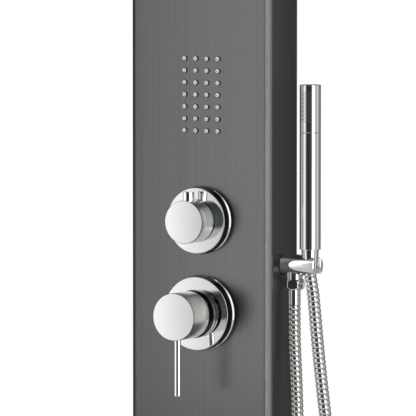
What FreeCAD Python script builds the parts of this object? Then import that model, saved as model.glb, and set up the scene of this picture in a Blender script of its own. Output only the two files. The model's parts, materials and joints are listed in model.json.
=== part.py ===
"""Wall-hung shower panel with body jets, a diverter knob, a lever mixer and a hand shower on a hose.

Millimetres. +X is to the right of someone facing the panel, +Y goes back into the wall and +Z is up.
The wall is the plane Y = 0, and the origin is the centre of the four wall screws.
"""
import FreeCAD
import Part
import math
import operator
import os
import Sketcher

# Counts and shares that are not lengths.
JET_COLUMNS = 4
JET_ROWS = 7
HOSE_RIBS = 200
ARC_SHARE = 0.45  # part of the shorter run that an arc of the hose may take
RIB_CREST = (0.2, 0.75)  # where a rib's crest begins and ends, in its pitch
RIB_GROOVE = (0.0, 0.95)  # where its groove ends and begins
ON_FACE = 0.01  # how near a face's middle lies to the plane that it is picked by

# Every driving size: alias, millimetres, what it measures.
SIZES = [
    # Casing
    ("panel_height", 1200, "casing, top to bottom"),
    ("panel_width", 190, "casing, left to right"),
    ("panel_depth", 66, "front face to wall"),
    ("sheet_wall", 1.5, "thickness of the folded sheet"),
    ("fold_radius", 8, "outside radius of the two front folds"),
    ("lip_width", 18, "return lip along each back edge"),
    ("cap_rim", 16, "height of the end caps' rims"),
    ("supply_hole", 12, "radius of the bottom cap's holes for the supply hoses"),
    # Hanging
    ("rail_height", 30, "hanger rail, vertical"),
    ("rail_wall", 3, "hanger rail, thickness"),
    ("bracket_width", 120, "wall bracket, left to right"),
    ("bracket_wall", 2, "wall bracket, thickness"),
    ("bracket_drop", 40, "ledge of the bracket to its lower edge"),
    ("hook_rise", 10, "height of the hook in front of the rail"),
    ("hook_play", 0.5, "room between rail and hook"),
    ("screw_hole", 3, "radius of a wall screw's hole"),
    ("screw_spread_x", 80, "wall screws, side to side"),
    ("screw_inset", 150, "casing's ends to the wall screws"),
    ("screw_drop", 20, "ledge of the bracket to its screw holes"),
    # Layout on the front
    ("fitting_x", 3, "line of the jets and valves, from the panel's middle"),
    ("mixer_z", 30, "mixer axis above the origin"),
    ("diverter_rise", 110, "diverter axis above the mixer axis"),
    ("jets_rise", 148, "middle of the jets above the diverter axis"),
    ("holder_rise", 58.8, "holder axis above the mixer axis"),
    ("pipe_to_wall", 31, "plane of the inner pipes to the wall"),
    ("valve_to_wall", 18, "back of the valve bodies to the wall"),
    # Fits
    ("turn_play", 0.05, "radial room of a turning fit or a thread"),
    ("slip_play", 0.3, "room between pieces that only pass"),
    # Body jets
    ("jet_pitch_x", 15, "jet to jet, across"),
    ("jet_pitch_z", 14.2, "jet to jet, down"),
    ("nipple_radius", 2.9, "nozzle nipple"),
    ("nipple_rise", 2.5, "nipple in front of the sheet"),
    ("nipple_bore", 0.8, "radius of the water hole"),
    ("mat_wall", 2.5, "nozzle mat behind the sheet"),
    ("mat_margin", 12, "outer jets to the edge of the mat"),
    ("manifold_depth", 20, "jet manifold, front to back"),
    ("manifold_rim", 8, "side wall of the manifold"),
    ("manifold_back", 3, "back wall of the manifold"),
    ("stud_radius", 2, "stud that holds the manifold"),
    ("stud_inset", 5, "stud to the edges of the manifold"),
    ("stud_nut_flats", 7, "stud's nut, across flats"),
    ("stud_nut_height", 3.2, "stud's nut"),
    ("stud_proud", 1, "stud past its nut"),
    # Inner pipes
    ("pipe_radius", 6, "outside of a pipe"),
    ("pipe_bore", 5, "inside radius of a pipe"),
    ("pipe_bend", 15, "bend radius at the pipe's middle"),
    ("socket_depth", 10, "pipe inside its socket"),
    ("socket_wall", 4, "wall round a pipe socket"),
    # Both valves
    ("plate_depth", 15, "round cover plate, off the panel"),
    ("plate_face", 3, "front wall of a cover plate"),
    ("plate_rim", 2.5, "side wall of a cover plate"),
    ("plate_edge", 1, "bevel round a cover plate"),
    ("seal_width", 3.2, "foam ring inside a cover plate"),
    ("seal_height", 3, "foam ring off the panel"),
    ("valve_floor", 20, "solid brass behind the cartridge"),
    ("port_radius", 3, "drilled way from cartridge to port"),
    ("port_offset", 11, "that way's distance from the valve's axis"),
    ("gland_depth", 8, "gland nut inside the neck"),
    ("gland_wall", 2, "neck outside the gland nut"),
    ("nose_length", 19, "cartridge nose in front of its shoulder"),
    ("spindle_seat", 22, "cartridge floor to the end of its spindle bore"),
    ("locknut_height", 7, "lock nut on the valve's neck"),
    ("locknut_wall", 5, "lock nut round the neck, at the flats"),
    ("boss_radius", 9, "boss inside a knob"),
    ("knob_edge", 0.8, "bevel round a knob's face"),
    # Diverter
    ("diverter_plate_radius", 39, "cover plate"),
    ("diverter_body_radius", 23, "valve body"),
    ("diverter_neck_radius", 18, "threaded neck through the sheet"),
    ("diverter_cartridge_radius", 14, "cartridge"),
    ("diverter_nose_radius", 9, "cartridge nose"),
    ("diverter_gland_flange", 3, "gland nut's flange past the neck"),
    ("diverter_gland_height", 5, "gland nut's flange, front to back"),
    ("diverter_knob_radius", 25.5, "knob"),
    ("diverter_reach", 43.2, "knob's face off the panel"),
    ("diverter_gap", 1, "knob to its cover plate"),
    ("knob_wall", 2.8, "knob's side wall"),
    ("knob_face", 4, "knob's front wall"),
    ("diverter_boss", 11.5, "boss behind the knob's front wall"),
    ("spindle_radius", 4, "turning spindle"),
    ("spindle_reach", 37, "end of the spindle off the panel"),
    ("peg_radius", 6.5, "peg on the knob"),
    ("peg_rise", 9.7, "peg above the knob"),
    ("peg_setback", 12.7, "peg's axis behind the knob's face"),
    ("peg_shank", 3, "radius of the peg's threaded shank"),
    # Mixer
    ("mixer_plate_radius", 43.5, "cover plate"),
    ("mixer_body_radius", 27, "valve body"),
    ("mixer_neck_radius", 20.5, "threaded neck through the sheet"),
    ("mixer_cartridge_radius", 17, "cartridge"),
    ("mixer_nose_radius", 12, "cartridge nose"),
    ("mixer_gland_flange", 0.8, "gland nut's flange past the neck"),
    ("mixer_gland_height", 2, "gland nut's flange, front to back"),
    ("mixer_cap_radius", 28, "cap that carries the lever"),
    ("mixer_reach", 66.5, "cap's face off the panel"),
    ("mixer_gap", 15.5, "cap to its cover plate"),
    ("dome_radius", 29, "dome ring between cap and cover plate, at its foot"),
    ("dome_taper", 1.6, "dome ring, foot to front, on the radius"),
    ("dome_height", 7, "dome ring off the cover plate"),
    ("cap_wall", 2.2, "cap's side wall"),
    ("cap_face", 4, "cap's front wall"),
    ("mixer_boss", 17, "boss behind the cap's front wall"),
    ("yoke_radius", 9, "turning yoke in the cartridge"),
    ("pivot_reach", 34, "tilting pin off the panel"),
    ("ear_reach", 4, "yoke's ears past the pin"),
    ("fork_gap", 6.4, "slot between the ears"),
    ("fork_depth", 11, "slot, front to back"),
    ("pin_radius", 1.5, "tilting pin"),
    ("pin_length", 15, "tilting pin"),
    ("stem_radius", 4, "round part of the stem"),
    ("stem_length", 26, "pin to the stem's end"),
    ("tang_width", 6, "flat part of the stem between the ears"),
    ("tang_length", 7, "pin to the round part's start"),
    ("eye_radius", 4.5, "stem's eye round the pin"),
    ("lever_radius", 3.75, "lever rod"),
    ("lever_reach", 66, "lever below the cap"),
    ("lever_setback", 10.4, "lever's axis behind the cap's face"),
    ("inlet_spread", 45, "hot and cold inlets, from the mixer axis"),
    ("inlet_radius", 13, "inlet castings"),
    ("inlet_bar", 11, "radius of the casting across to the inlets"),
    ("inlet_drop", 30, "inlet mouths below the mixer axis"),
    ("inlet_thread", 9.3, "radius inside the inlet threads"),
    ("inlet_depth", 14, "inlet threads"),
    ("check_radius", 7, "check valve in each inlet"),
    ("check_length", 10, "check valve in each inlet"),
    # Holder and outlet
    ("arm_radius", 12.5, "holder arm"),
    ("arm_length", 46, "holder arm off the panel's side"),
    ("arm_setback", 35, "holder axis behind the panel's front"),
    ("arm_edge", 1, "bevel at the arm's end"),
    ("washer_wall", 1, "washer between arm and panel"),
    ("spigot_radius", 10.4, "thread of the arm through the panel's side"),
    ("spigot_length", 24, "that thread"),
    ("outlet_reach", 14, "outlet's axis off the panel's side"),
    ("outlet_radius", 9.6, "outlet thread"),
    ("outlet_bore", 5.5, "water way in the outlet"),
    ("outlet_stub", 4.2, "outlet showing between arm and nut"),
    ("outlet_thread", 6.2, "outlet inside the nut"),
    ("hand_reach", 35, "hand shower's axis off the panel's side"),
    ("slot_width", 15.8, "slot in the arm that lets the hose through"),
    # Hose ends
    ("union_flats", 21.5, "union nut, across flats"),
    ("union_height", 12.2, "union nut"),
    ("ferrule_radius", 7.35, "plain sleeve at each end of the hose"),
    ("ferrule_bore", 4.5, "water way in the ferrules and the hose"),
    ("ferrule_length", 18, "outlet ferrule below its nut"),
    ("collar_height", 2, "ferrule's collar inside its nut"),
    ("collar_radius", 8.6, "ferrule's collar inside the union nut"),
    ("seal_wall", 2, "flat seal in each hose end"),
    ("hose_radius", 7.5, "hose over its ribs"),
    ("rib_depth", 0.9, "groove between two ribs"),
    ("cone_top", 10.4, "cone nut, upper radius"),
    ("cone_bottom", 8.4, "cone nut, lower radius"),
    ("cone_length", 28.2, "cone nut"),
    ("cone_thread", 8.4, "thread inside the cone nut"),
    ("cone_lip", 2.5, "cone nut's lip under the ferrule's collar"),
    ("tail_length", 2, "hand ferrule below the cone nut"),
    # Hand shower
    ("wand_lift", 19.2, "lower end of the hand shower above the holder axis"),
    ("wand_radius", 12.5, "hand shower"),
    ("wand_length", 193.5, "hand shower"),
    ("wand_wall", 1.7, "wall of its two tubes"),
    ("wand_edge", 0.7, "bevel at its ends"),
    ("head_length", 56, "spray head, down to its seam"),
    ("head_top", 2.5, "spray head's end wall"),
    ("seam_gap", 0.3, "line between head and handle"),
    ("coupling_length", 30, "inner sleeve across the seam"),
    ("coupling_wall", 2.5, "that sleeve"),
    ("plug_length", 12, "bottom plug inside the handle"),
    ("nipple_length", 10, "threaded nipple under the plug"),
    ("nipple_way", 5, "water way in the plug"),
    ("tube_radius", 6.5, "water tube in the handle"),
    ("spray_width", 15.4, "spray insert, across"),
    ("spray_height", 36, "spray insert"),
    ("spray_drop", 8, "top of the hand shower to the insert"),
    ("spray_play", 0.12, "line round the spray insert"),
]

# The hose's route in the plane of the holder, as steps right and up from each of its two ends.
HOSE_FROM_OUTLET = [
    (0, 0),
    (0, -41.1),
    (3.2, -95.1),
    (5.4, -175.1),
    (4.4, -279.1),
    (2.8, -383.1),
    (2.4, -467.1),
    (4, -527.1),
    (4, -578.7),
    (27.6, -619.5),
    (68.4, -643.1),
    (115.6, -643.1),
    (156.4, -619.5),
    (180, -578.7),
]
HOSE_FROM_HAND = [
    (0, 0),
    (0, -40),
    (8.5, -83),
    (16, -131),
    (29.5, -193),
    (54, -266),
    (89, -350),
    (120, -435),
    (146, -513),
    (159, -567),
]

V = FreeCAD.Vector
DOC = FreeCAD.newDocument("ShowerPanel")
SHEET = DOC.addObject("Spreadsheet::Sheet", "Sizes")
NODES = []


class Size:
    """A length from the sheet, or a sum of such lengths: its value and the expression that keeps it."""

    def __init__(self, value, text):
        self.value = value
        self.text = text

    def combine(self, sign, other, swap=False):
        """This size and another one, joined by a sign."""
        pair = [self, as_size(other)]
        if swap:
            pair.reverse()
        value = SIGNS[sign](pair[0].value, pair[1].value)
        return Size(value, f"({pair[0].text} {sign} {pair[1].text})")

    def __add__(self, other):
        return self.combine("+", other)

    def __radd__(self, other):
        return self.combine("+", other, swap=True)

    def __sub__(self, other):
        return self.combine("-", other)

    def __rsub__(self, other):
        return self.combine("-", other, swap=True)

    def __mul__(self, other):
        return self.combine("*", other)

    def __rmul__(self, other):
        return self.combine("*", other, swap=True)

    def __truediv__(self, other):
        return self.combine("/", other)

    def __neg__(self):
        return self.combine("*", -1)


SIGNS = {"+": operator.add, "-": operator.sub, "*": operator.mul, "/": operator.truediv}


def as_size(number):
    """A plain number as a size."""
    if isinstance(number, Size):
        return number
    return Size(float(number), f"({number})")


class Sizes:
    """The sheet's sizes by name."""

    def __init__(self):
        for row, (alias, number, note) in enumerate(SIZES, 1):
            SHEET.set(f"A{row}", alias)
            SHEET.set(f"B{row}", str(number))
            SHEET.setAlias(f"B{row}", alias)
            SHEET.set(f"C{row}", note)
            setattr(self, alias, Size(float(number), f"Sizes.{alias}"))
        DOC.recompute()


D = Sizes()

# Places that several pieces share.
FRONT = -D.panel_depth
INSIDE = FRONT + D.sheet_wall
SIDE = D.panel_width / 2
PIPE_Y = -D.pipe_to_wall
PLATE_FACE = FRONT - D.plate_depth
DIVERTER_Z = D.mixer_z + D.diverter_rise
JETS_Z = DIVERTER_Z + D.jets_rise
HOLDER_Y = FRONT + D.arm_setback
HOLDER_Z = D.mixer_z + D.holder_rise
OUTLET_X = SIDE + D.outlet_reach
HAND_X = SIDE + D.hand_reach
WAND_Z = HOLDER_Z + D.wand_lift
CARTRIDGE_FLOOR = -D.valve_to_wall - D.valve_floor
SHOULDER_Y = PLATE_FACE + D.gland_depth
NOSE_Y = SHOULDER_Y - D.nose_length
SPINDLE_Y = CARTRIDGE_FLOOR - D.spindle_seat
PIVOT_Y = FRONT - D.pivot_reach
CUT_PAST = as_size(1)

FACING = {
    "up": FreeCAD.Rotation(),
    "up_turned": FreeCAD.Rotation(V(0, 0, 1), 30),
    "down": FreeCAD.Rotation(V(1, 0, 0), 180),
    "down_same_front": FreeCAD.Rotation(V(0, 1, 0), 180),
    "front": FreeCAD.Rotation(V(1, 0, 0), 90),
    "right": FreeCAD.Rotation(V(0, 1, 0), 90),
    "left": FreeCAD.Rotation(V(0, 1, 0), -90),
}


# Helpers that make bound objects


def place(thing, at, facing="up"):
    """Puts an object at three sizes, turned so that its own Z faces the way named."""
    at = [as_size(c) for c in at]
    thing.Placement = FreeCAD.Placement(V(*(c.value for c in at)), FACING[facing])
    for axis, c in zip("xyz", at):
        thing.setExpression(f"Placement.Base.{axis}", c.text)
    return thing


def primitive(kind, name, at, facing, **sizes):
    """A Part primitive whose sizes follow the sheet."""
    thing = DOC.addObject(kind, name)
    for prop, amount in sizes.items():
        thing.setExpression(prop, as_size(amount).text)
    return place(thing, at, facing)


def cylinder(name, radius, length, at, facing="up"):
    return primitive("Part::Cylinder", name, at, facing, Radius=radius, Height=length)


def box(name, size, at):
    """A box from its low corner."""
    return primitive("Part::Box", name, at, "up", Length=size[0], Width=size[1], Height=size[2])


def hexagon(name, flats, length, at, facing="up"):
    """A six-sided bar, measured across its flats."""
    bar = primitive("Part::Prism", name, at, facing, Circumradius=flats / math.sqrt(3), Height=length)
    bar.Polygon = 6
    return bar


def join(name, *pieces):
    whole = DOC.addObject("Part::MultiFuse", name)
    whole.Shapes = list(pieces)
    whole.Refine = True
    return whole


def cut(name, base, *tools):
    piece = DOC.addObject("Part::Cut", name)
    piece.Base = base
    piece.Tool = tools[0] if len(tools) == 1 else join(f"{name}_tools", *tools)
    return piece


def group(name, *pieces):
    """Like pieces that share a node, each a solid of its own."""
    several = DOC.addObject("Part::Compound", name)
    several.Links = list(pieces)
    return several


def new_sketch(body, plane):
    """An empty sketch on one of a body's own planes."""
    sketch = body.newObject("Sketcher::SketchObject", f"{body.Label}_sketch")
    support = next(f for f in body.Origin.OriginFeatures if f.Role == plane)
    sketch.AttachmentSupport = [(support, "")]
    sketch.MapMode = "FlatFace"
    return sketch


def pin_down(sketch, element, point, x, y):
    """Ties a point of a sketch to two sizes, measured from the sketch's origin."""
    for kind, amount, axis in (("DistanceX", as_size(x), -2), ("DistanceY", as_size(y), -1)):
        if amount.value == 0:
            sketch.addConstraint(Sketcher.Constraint("PointOnObject", element, point, axis))
            continue
        rule = Sketcher.Constraint(kind, -1, 1, element, point, amount.value)
        number = sketch.addConstraint(rule)
        sketch.setExpression(f"Constraints[{number}]", amount.text)


def draw_outline(sketch, corners):
    """A closed outline of straight lines through corners given in sizes."""
    corners = [(as_size(x), as_size(y)) for x, y in corners]
    spots = [V(x.value, y.value, 0) for x, y in corners]
    first = len(sketch.Geometry)
    count = len(spots)
    for i in range(count):
        sketch.addGeometry(Part.LineSegment(spots[i], spots[(i + 1) % count]), False)
    for i in range(count):
        follower = first + (i + 1) % count
        sketch.addConstraint(Sketcher.Constraint("Coincident", first + i, 2, follower, 1))
    for i, (x, y) in enumerate(corners):
        pin_down(sketch, first + i, 1, x, y)


def draw_circles(sketch, radius, centres):
    """Equal circles, each tied to its centre."""
    radius = as_size(radius)
    for x, y in centres:
        spot = V(as_size(x).value, as_size(y).value, 0)
        circle = sketch.addGeometry(Part.Circle(spot, V(0, 0, 1), radius.value), False)
        number = sketch.addConstraint(Sketcher.Constraint("Radius", circle, radius.value))
        sketch.setExpression(f"Constraints[{number}]", radius.text)
        pin_down(sketch, circle, 3, x, y)


def pad(body, plane, corners, length, back=False):
    """Adds an outline's prism to a body. From XZ_Plane it grows to the front, or to the back."""
    sketch = new_sketch(body, plane)
    draw_outline(sketch, corners)
    return extrude(body, "PartDesign::Pad", sketch, length, back)


def extrude(body, kind, sketch, length, back=False):
    """A pad or pocket of a sketch, one way or the other."""
    feature = body.newObject(kind, f"{body.Label}_{kind[12:].lower()}")
    feature.Profile = sketch
    feature.setExpression("Length", as_size(length).text)
    feature.Reversed = back
    DOC.recompute()
    return feature


def drill(body, plane, radius, centres):
    """Round holes right through a body, both ways from the sketch's plane."""
    sketch = new_sketch(body, plane)
    draw_circles(sketch, radius, centres)
    holes = body.newObject("PartDesign::Pocket", f"{body.Label}_holes")
    holes.Profile = sketch
    holes.Type = "ThroughAll"
    holes.SideType = "Symmetric"
    DOC.recompute()
    return holes


def rectangle(left, right, low, high):
    return [(left, low), (right, low), (right, high), (left, high)]


def turned(name, profile, at, facing="up"):
    """A turned piece: a closed profile of (radius, distance along) pairs, spun about the body's Z axis."""
    body = DOC.addObject("PartDesign::Body", name)
    sketch = new_sketch(body, "XZ_Plane")
    draw_outline(sketch, profile)
    spin = body.newObject("PartDesign::Revolution", f"{name}_spin")
    spin.Profile = sketch
    spin.ReferenceAxis = (sketch, ["V_Axis"])
    spin.Angle = 360
    return place(body, at, facing)


def ring(name, inner, outer, length, at, facing="up"):
    return turned(name, rectangle(inner, outer, 0, length), at, facing)


def node(piece):
    """Marks an object as a finished sub-part."""
    NODES.append(piece)
    return piece


# Paths of straight runs and tangent arcs


def rounded_path(points, radii):
    """The route's lines and arcs in order: each has a length and a function from distance to place."""
    pieces = []
    start = points[0]
    for before, corner, after, radius in zip(points, points[1:], points[2:], radii):
        ahead = (corner - before).normalize()
        onward = (after - corner).normalize()
        turn = ahead.getAngle(onward)
        reach = radius * math.tan(turn / 2)
        arc_start = corner - ahead * reach
        inward = (onward - ahead * ahead.dot(onward)).normalize()
        pieces.append(straight(start, arc_start))
        pieces.append(bend(arc_start, ahead, inward, radius, turn))
        start = corner + onward * reach
    pieces.append(straight(start, points[-1]))
    return pieces


def straight(start, end):
    """A line's length, its place and heading at a distance, and its edge."""
    ahead = (end - start).normalize()

    def spot(s):
        return start + ahead * s, ahead

    return (end - start).Length, spot, Part.LineSegment(start, end).toShape()


def bend(start, ahead, inward, radius, turn):
    """An arc's length, its place and heading at a distance, and its edge."""
    centre = start + inward * radius

    def spot(s):
        angle = s / radius
        outward = inward * -math.cos(angle) + ahead * math.sin(angle)
        heading = ahead * math.cos(angle) + inward * math.sin(angle)
        return centre + outward * radius, heading

    ends = [spot(turn * radius * share)[0] for share in (0, 0.5, 1)]
    return turn * radius, spot, Part.Arc(*ends).toShape()


def widest_radii(points):
    """For each corner of a route the largest arc that its two runs allow."""
    radii = []
    for before, corner, after in zip(points, points[1:], points[2:]):
        shorter = min((corner - before).Length, (after - corner).Length)
        turn = (corner - before).getAngle(after - corner)
        radii.append(ARC_SHARE * shorter / math.tan(turn / 2))
    return radii


def circle_wire(centre, heading, steady, radius):
    """A circle across a path, with its own X axis held steady."""
    turn = FreeCAD.Rotation(steady, heading.cross(steady), heading, "ZXY")
    edge = Part.Circle(V(), V(0, 0, 1), radius).toShape()
    edge.Placement = FreeCAD.Placement(centre, turn)
    return Part.Wire([edge])


def pipe(name, points, steady):
    """A bent copper pipe through corner points."""
    corners = [V(*(as_size(c).value for c in point)) for point in points]
    path = rounded_path(corners, [D.pipe_bend.value] * (len(corners) - 2))
    spine = Part.Wire([edge for _, _, edge in path])
    start, heading = path[0][1](0)
    outer, inner = (
        spine.makePipeShell([circle_wire(start, heading, steady, radius)], True, True)
        for radius in (D.pipe_radius.value, D.pipe_bore.value)
    )
    tube = DOC.addObject("Part::Feature", name)
    tube.Shape = outer.cut(inner)
    return tube


# Casing


def casing_block(name, inset, height):
    """A block with the casing's outline, drawn in by an inset, with its front edges rounded."""
    body = DOC.addObject("PartDesign::Body", name)
    half = SIDE - inset
    solid = pad(body, "XY_Plane", rectangle(-half, half, FRONT + inset, -inset), height)
    folds = [
        f"Edge{i}"
        for i, edge in enumerate(solid.Shape.Edges, 1)
        if edge.BoundBox.ZLength > height.value / 2 and edge.BoundBox.YMax < FRONT.value / 2
    ]
    fillet = body.newObject("PartDesign::Fillet", f"{name}_folds")
    fillet.Base = (solid, folds)
    fillet.setExpression("Radius", D.fold_radius.text)
    DOC.recompute()
    return body, fillet


def hollow(body, solid, opened):
    """Turns a block into sheet metal, open at the faces that the test picks."""
    faces = [f"Face{i}" for i, face in enumerate(solid.Shape.Faces, 1) if opened(face.CenterOfMass)]
    shell = body.newObject("PartDesign::Thickness", f"{body.Label}_sheet")
    shell.Base = (solid, faces)
    shell.setExpression("Value", D.sheet_wall.text)
    shell.Reversed = True
    DOC.recompute()
    return shell


def jet_places():
    """Centres of the jets, measured from the middle of their grid."""
    return [
        (D.jet_pitch_x * (column - (JET_COLUMNS - 1) / 2), D.jet_pitch_z * (row - (JET_ROWS - 1) / 2))
        for row in range(JET_ROWS)
        for column in range(JET_COLUMNS)
    ]


def front_panel():
    """The folded sheet: front, two sides and their return lips, with its holes."""
    height = D.panel_height
    body, block = casing_block("front_panel", as_size(0), height)

    def open_face(c):
        ends = (0, height.value)
        return abs(c.y) < ON_FACE or any(abs(c.z - end) < ON_FACE for end in ends)

    hollow(body, block, open_face)
    for inner, outer in ((D.lip_width - SIDE, -SIDE), (SIDE - D.lip_width, SIDE)):
        pad(body, "XY_Plane", rectangle(inner, outer, -D.sheet_wall, 0), height)
    floor = height / 2
    jets = [(D.fitting_x + x, floor + JETS_Z + z) for x, z in jet_places()]
    drill(body, "XZ_Plane", D.nipple_radius + D.slip_play, jets)
    drill(body, "XZ_Plane", D.diverter_neck_radius + D.slip_play, [(D.fitting_x, floor + DIVERTER_Z)])
    drill(body, "XZ_Plane", D.mixer_neck_radius + D.slip_play, [(D.fitting_x, floor + D.mixer_z)])
    side_hole = new_sketch(body, "YZ_Plane")
    draw_circles(side_hole, D.spigot_radius + D.slip_play, [(HOLDER_Y, floor + HOLDER_Z)])
    extrude(body, "PartDesign::Pocket", side_hole, D.panel_width, back=True)
    place(body, (0, 0, -height / 2))
    node(body)


def end_caps():
    """Folded trays that close the casing at the top and at the bottom."""
    for name, facing, high in (("top_cap", "up", 1), ("bottom_cap", "down_same_front", -1)):
        body, block = casing_block(name, D.sheet_wall, D.cap_rim)
        hollow(body, block, lambda c: abs(c.z) < ON_FACE)
        if high < 0:
            # The bottom cap's own X runs to the left, because it is turned over.
            supplies = [(-D.fitting_x + D.inlet_spread * way, PIPE_Y) for way in (-1, 1)]
            drill(body, "XY_Plane", D.supply_hole, supplies)
        place(body, (0, 0, (D.panel_height / 2 - D.cap_rim) * high), facing)
        node(body)


def hanging():
    """Wall brackets with their hooks, and the rails in the panel that rest on them."""
    ledge = D.sheet_wall + D.rail_wall + D.hook_play
    wall = D.bracket_wall
    hook = [
        (0, -D.bracket_drop),
        (0, 0),
        (-ledge, 0),
        (-ledge, D.hook_rise),
        (-ledge - wall, D.hook_rise),
        (-ledge - wall, -wall),
        (-wall, -wall),
        (-wall, -D.bracket_drop),
    ]
    for name, high in (("upper", 1), ("lower", -1)):
        ledge_z = (D.panel_height / 2 - D.screw_inset) * high + D.screw_drop
        bracket = DOC.addObject("PartDesign::Body", f"wall_bracket_{name}")
        sketch = new_sketch(bracket, "YZ_Plane")
        draw_outline(sketch, hook)
        bar = bracket.newObject("PartDesign::Pad", f"wall_bracket_{name}_bar")
        bar.Profile = sketch
        bar.setExpression("Length", D.bracket_width.text)
        bar.SideType = "Symmetric"
        DOC.recompute()
        screws = [(D.screw_spread_x / 2 * way, -D.screw_drop) for way in (-1, 1)]
        drill(bracket, "XZ_Plane", D.screw_hole, screws)
        node(place(bracket, (0, 0, ledge_z)))
        half = SIDE - D.sheet_wall
        corner = (-half, -D.sheet_wall - D.rail_wall, ledge_z)
        node(box(f"hanger_rail_{name}", (half * 2, D.rail_wall, D.rail_height), corner))


# Body jets


def jets():
    """Nozzle mat behind the sheet, with its nipples through it, and the water box that holds it."""
    half_x = D.jet_pitch_x * ((JET_COLUMNS - 1) / 2) + D.mat_margin
    half_z = D.jet_pitch_z * ((JET_ROWS - 1) / 2) + D.mat_margin
    outline = rectangle(-half_x, half_x, -half_z, half_z)
    stud_x = half_x - D.stud_inset
    stud_z = half_z - D.stud_inset
    studs = [(stud_x * i, stud_z * j) for i in (-1, 1) for j in (-1, 1)]
    stud_hole = D.stud_radius + D.slip_play

    mat = DOC.addObject("PartDesign::Body", "nozzle_mat")
    pad(mat, "XZ_Plane", outline, D.mat_wall, back=True)
    nipples = new_sketch(mat, "XZ_Plane")
    draw_circles(nipples, D.nipple_radius, jet_places())
    extrude(mat, "PartDesign::Pad", nipples, D.sheet_wall + D.nipple_rise)
    drill(mat, "XZ_Plane", D.nipple_bore, jet_places())
    drill(mat, "XZ_Plane", stud_hole, studs)
    node(place(mat, (D.fitting_x, INSIDE, JETS_Z)))

    water_box = DOC.addObject("PartDesign::Body", "jet_manifold_box")
    front = INSIDE + D.mat_wall
    pad(water_box, "XZ_Plane", outline, D.manifold_depth, back=True)
    rim = D.manifold_rim
    chamber = new_sketch(water_box, "XZ_Plane")
    draw_outline(chamber, rectangle(rim - half_x, half_x - rim, rim - half_z, half_z - rim))
    extrude(water_box, "PartDesign::Pocket", chamber, D.manifold_depth - D.manifold_back)
    drill(water_box, "XZ_Plane", stud_hole, studs)
    place(water_box, (D.fitting_x, front, JETS_Z))
    middle = front + D.manifold_depth / 2
    low = JETS_Z - half_z
    boss_at = (D.fitting_x, middle, low - D.socket_depth)
    boss = cylinder("jet_manifold_boss", D.pipe_radius + D.socket_wall, D.socket_depth, boss_at)
    socket = cylinder("jet_manifold_socket", D.pipe_radius, D.socket_depth, boss_at)
    way = cylinder("jet_manifold_way", D.pipe_bore, D.socket_depth + rim * 2, boss_at)
    node(cut("jet_manifold", join("jet_manifold_stock", water_box, boss), socket, way))

    back = front + D.manifold_depth
    length = back - INSIDE + D.stud_nut_height + D.stud_proud
    pins = []
    nuts = []
    for x, z in studs:
        at = (D.fitting_x + x, back + D.stud_nut_height + D.stud_proud, JETS_Z + z)
        pins.append(cylinder("jet_stud", D.stud_radius, length, at, "front"))
        seat = (at[0], back + D.stud_nut_height, at[2])
        blank = hexagon("jet_nut_blank", D.stud_nut_flats, D.stud_nut_height, seat, "front")
        thread = cylinder("jet_nut_thread", D.stud_radius, D.stud_nut_height, seat, "front")
        nuts.append(cut("jet_nut", blank, thread))
    node(group("jet_studs", *pins))
    node(group("jet_nuts", *nuts))
    return middle, low


# Valves


def port_tools(name, axis_z, radius, ways):
    """Tools that drill pipe sockets into a valve body and join them to its cartridge."""
    tools = []
    for way in ways:
        x, z = {"up": (0, 1), "down": (0, -1), "right": (1, 0), "left": (-1, 0)}[way]
        seat = radius - D.socket_depth
        inner = D.port_offset - D.port_radius - CUT_PAST
        for label, size, start in (("socket", D.pipe_radius, seat), ("way", D.pipe_bore, inner)):
            at = (D.fitting_x + start * x, PIPE_Y, axis_z + start * z)
            tools.append(cylinder(f"{name}_{label}", size, radius + CUT_PAST - start, at, way))
        at = (D.fitting_x + D.port_offset * x, PIPE_Y, axis_z + D.port_offset * z)
        length = PIPE_Y - CARTRIDGE_FLOOR + CUT_PAST
        tools.append(cylinder(f"{name}_port", D.port_radius, length, at, "front"))
    return tools


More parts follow.
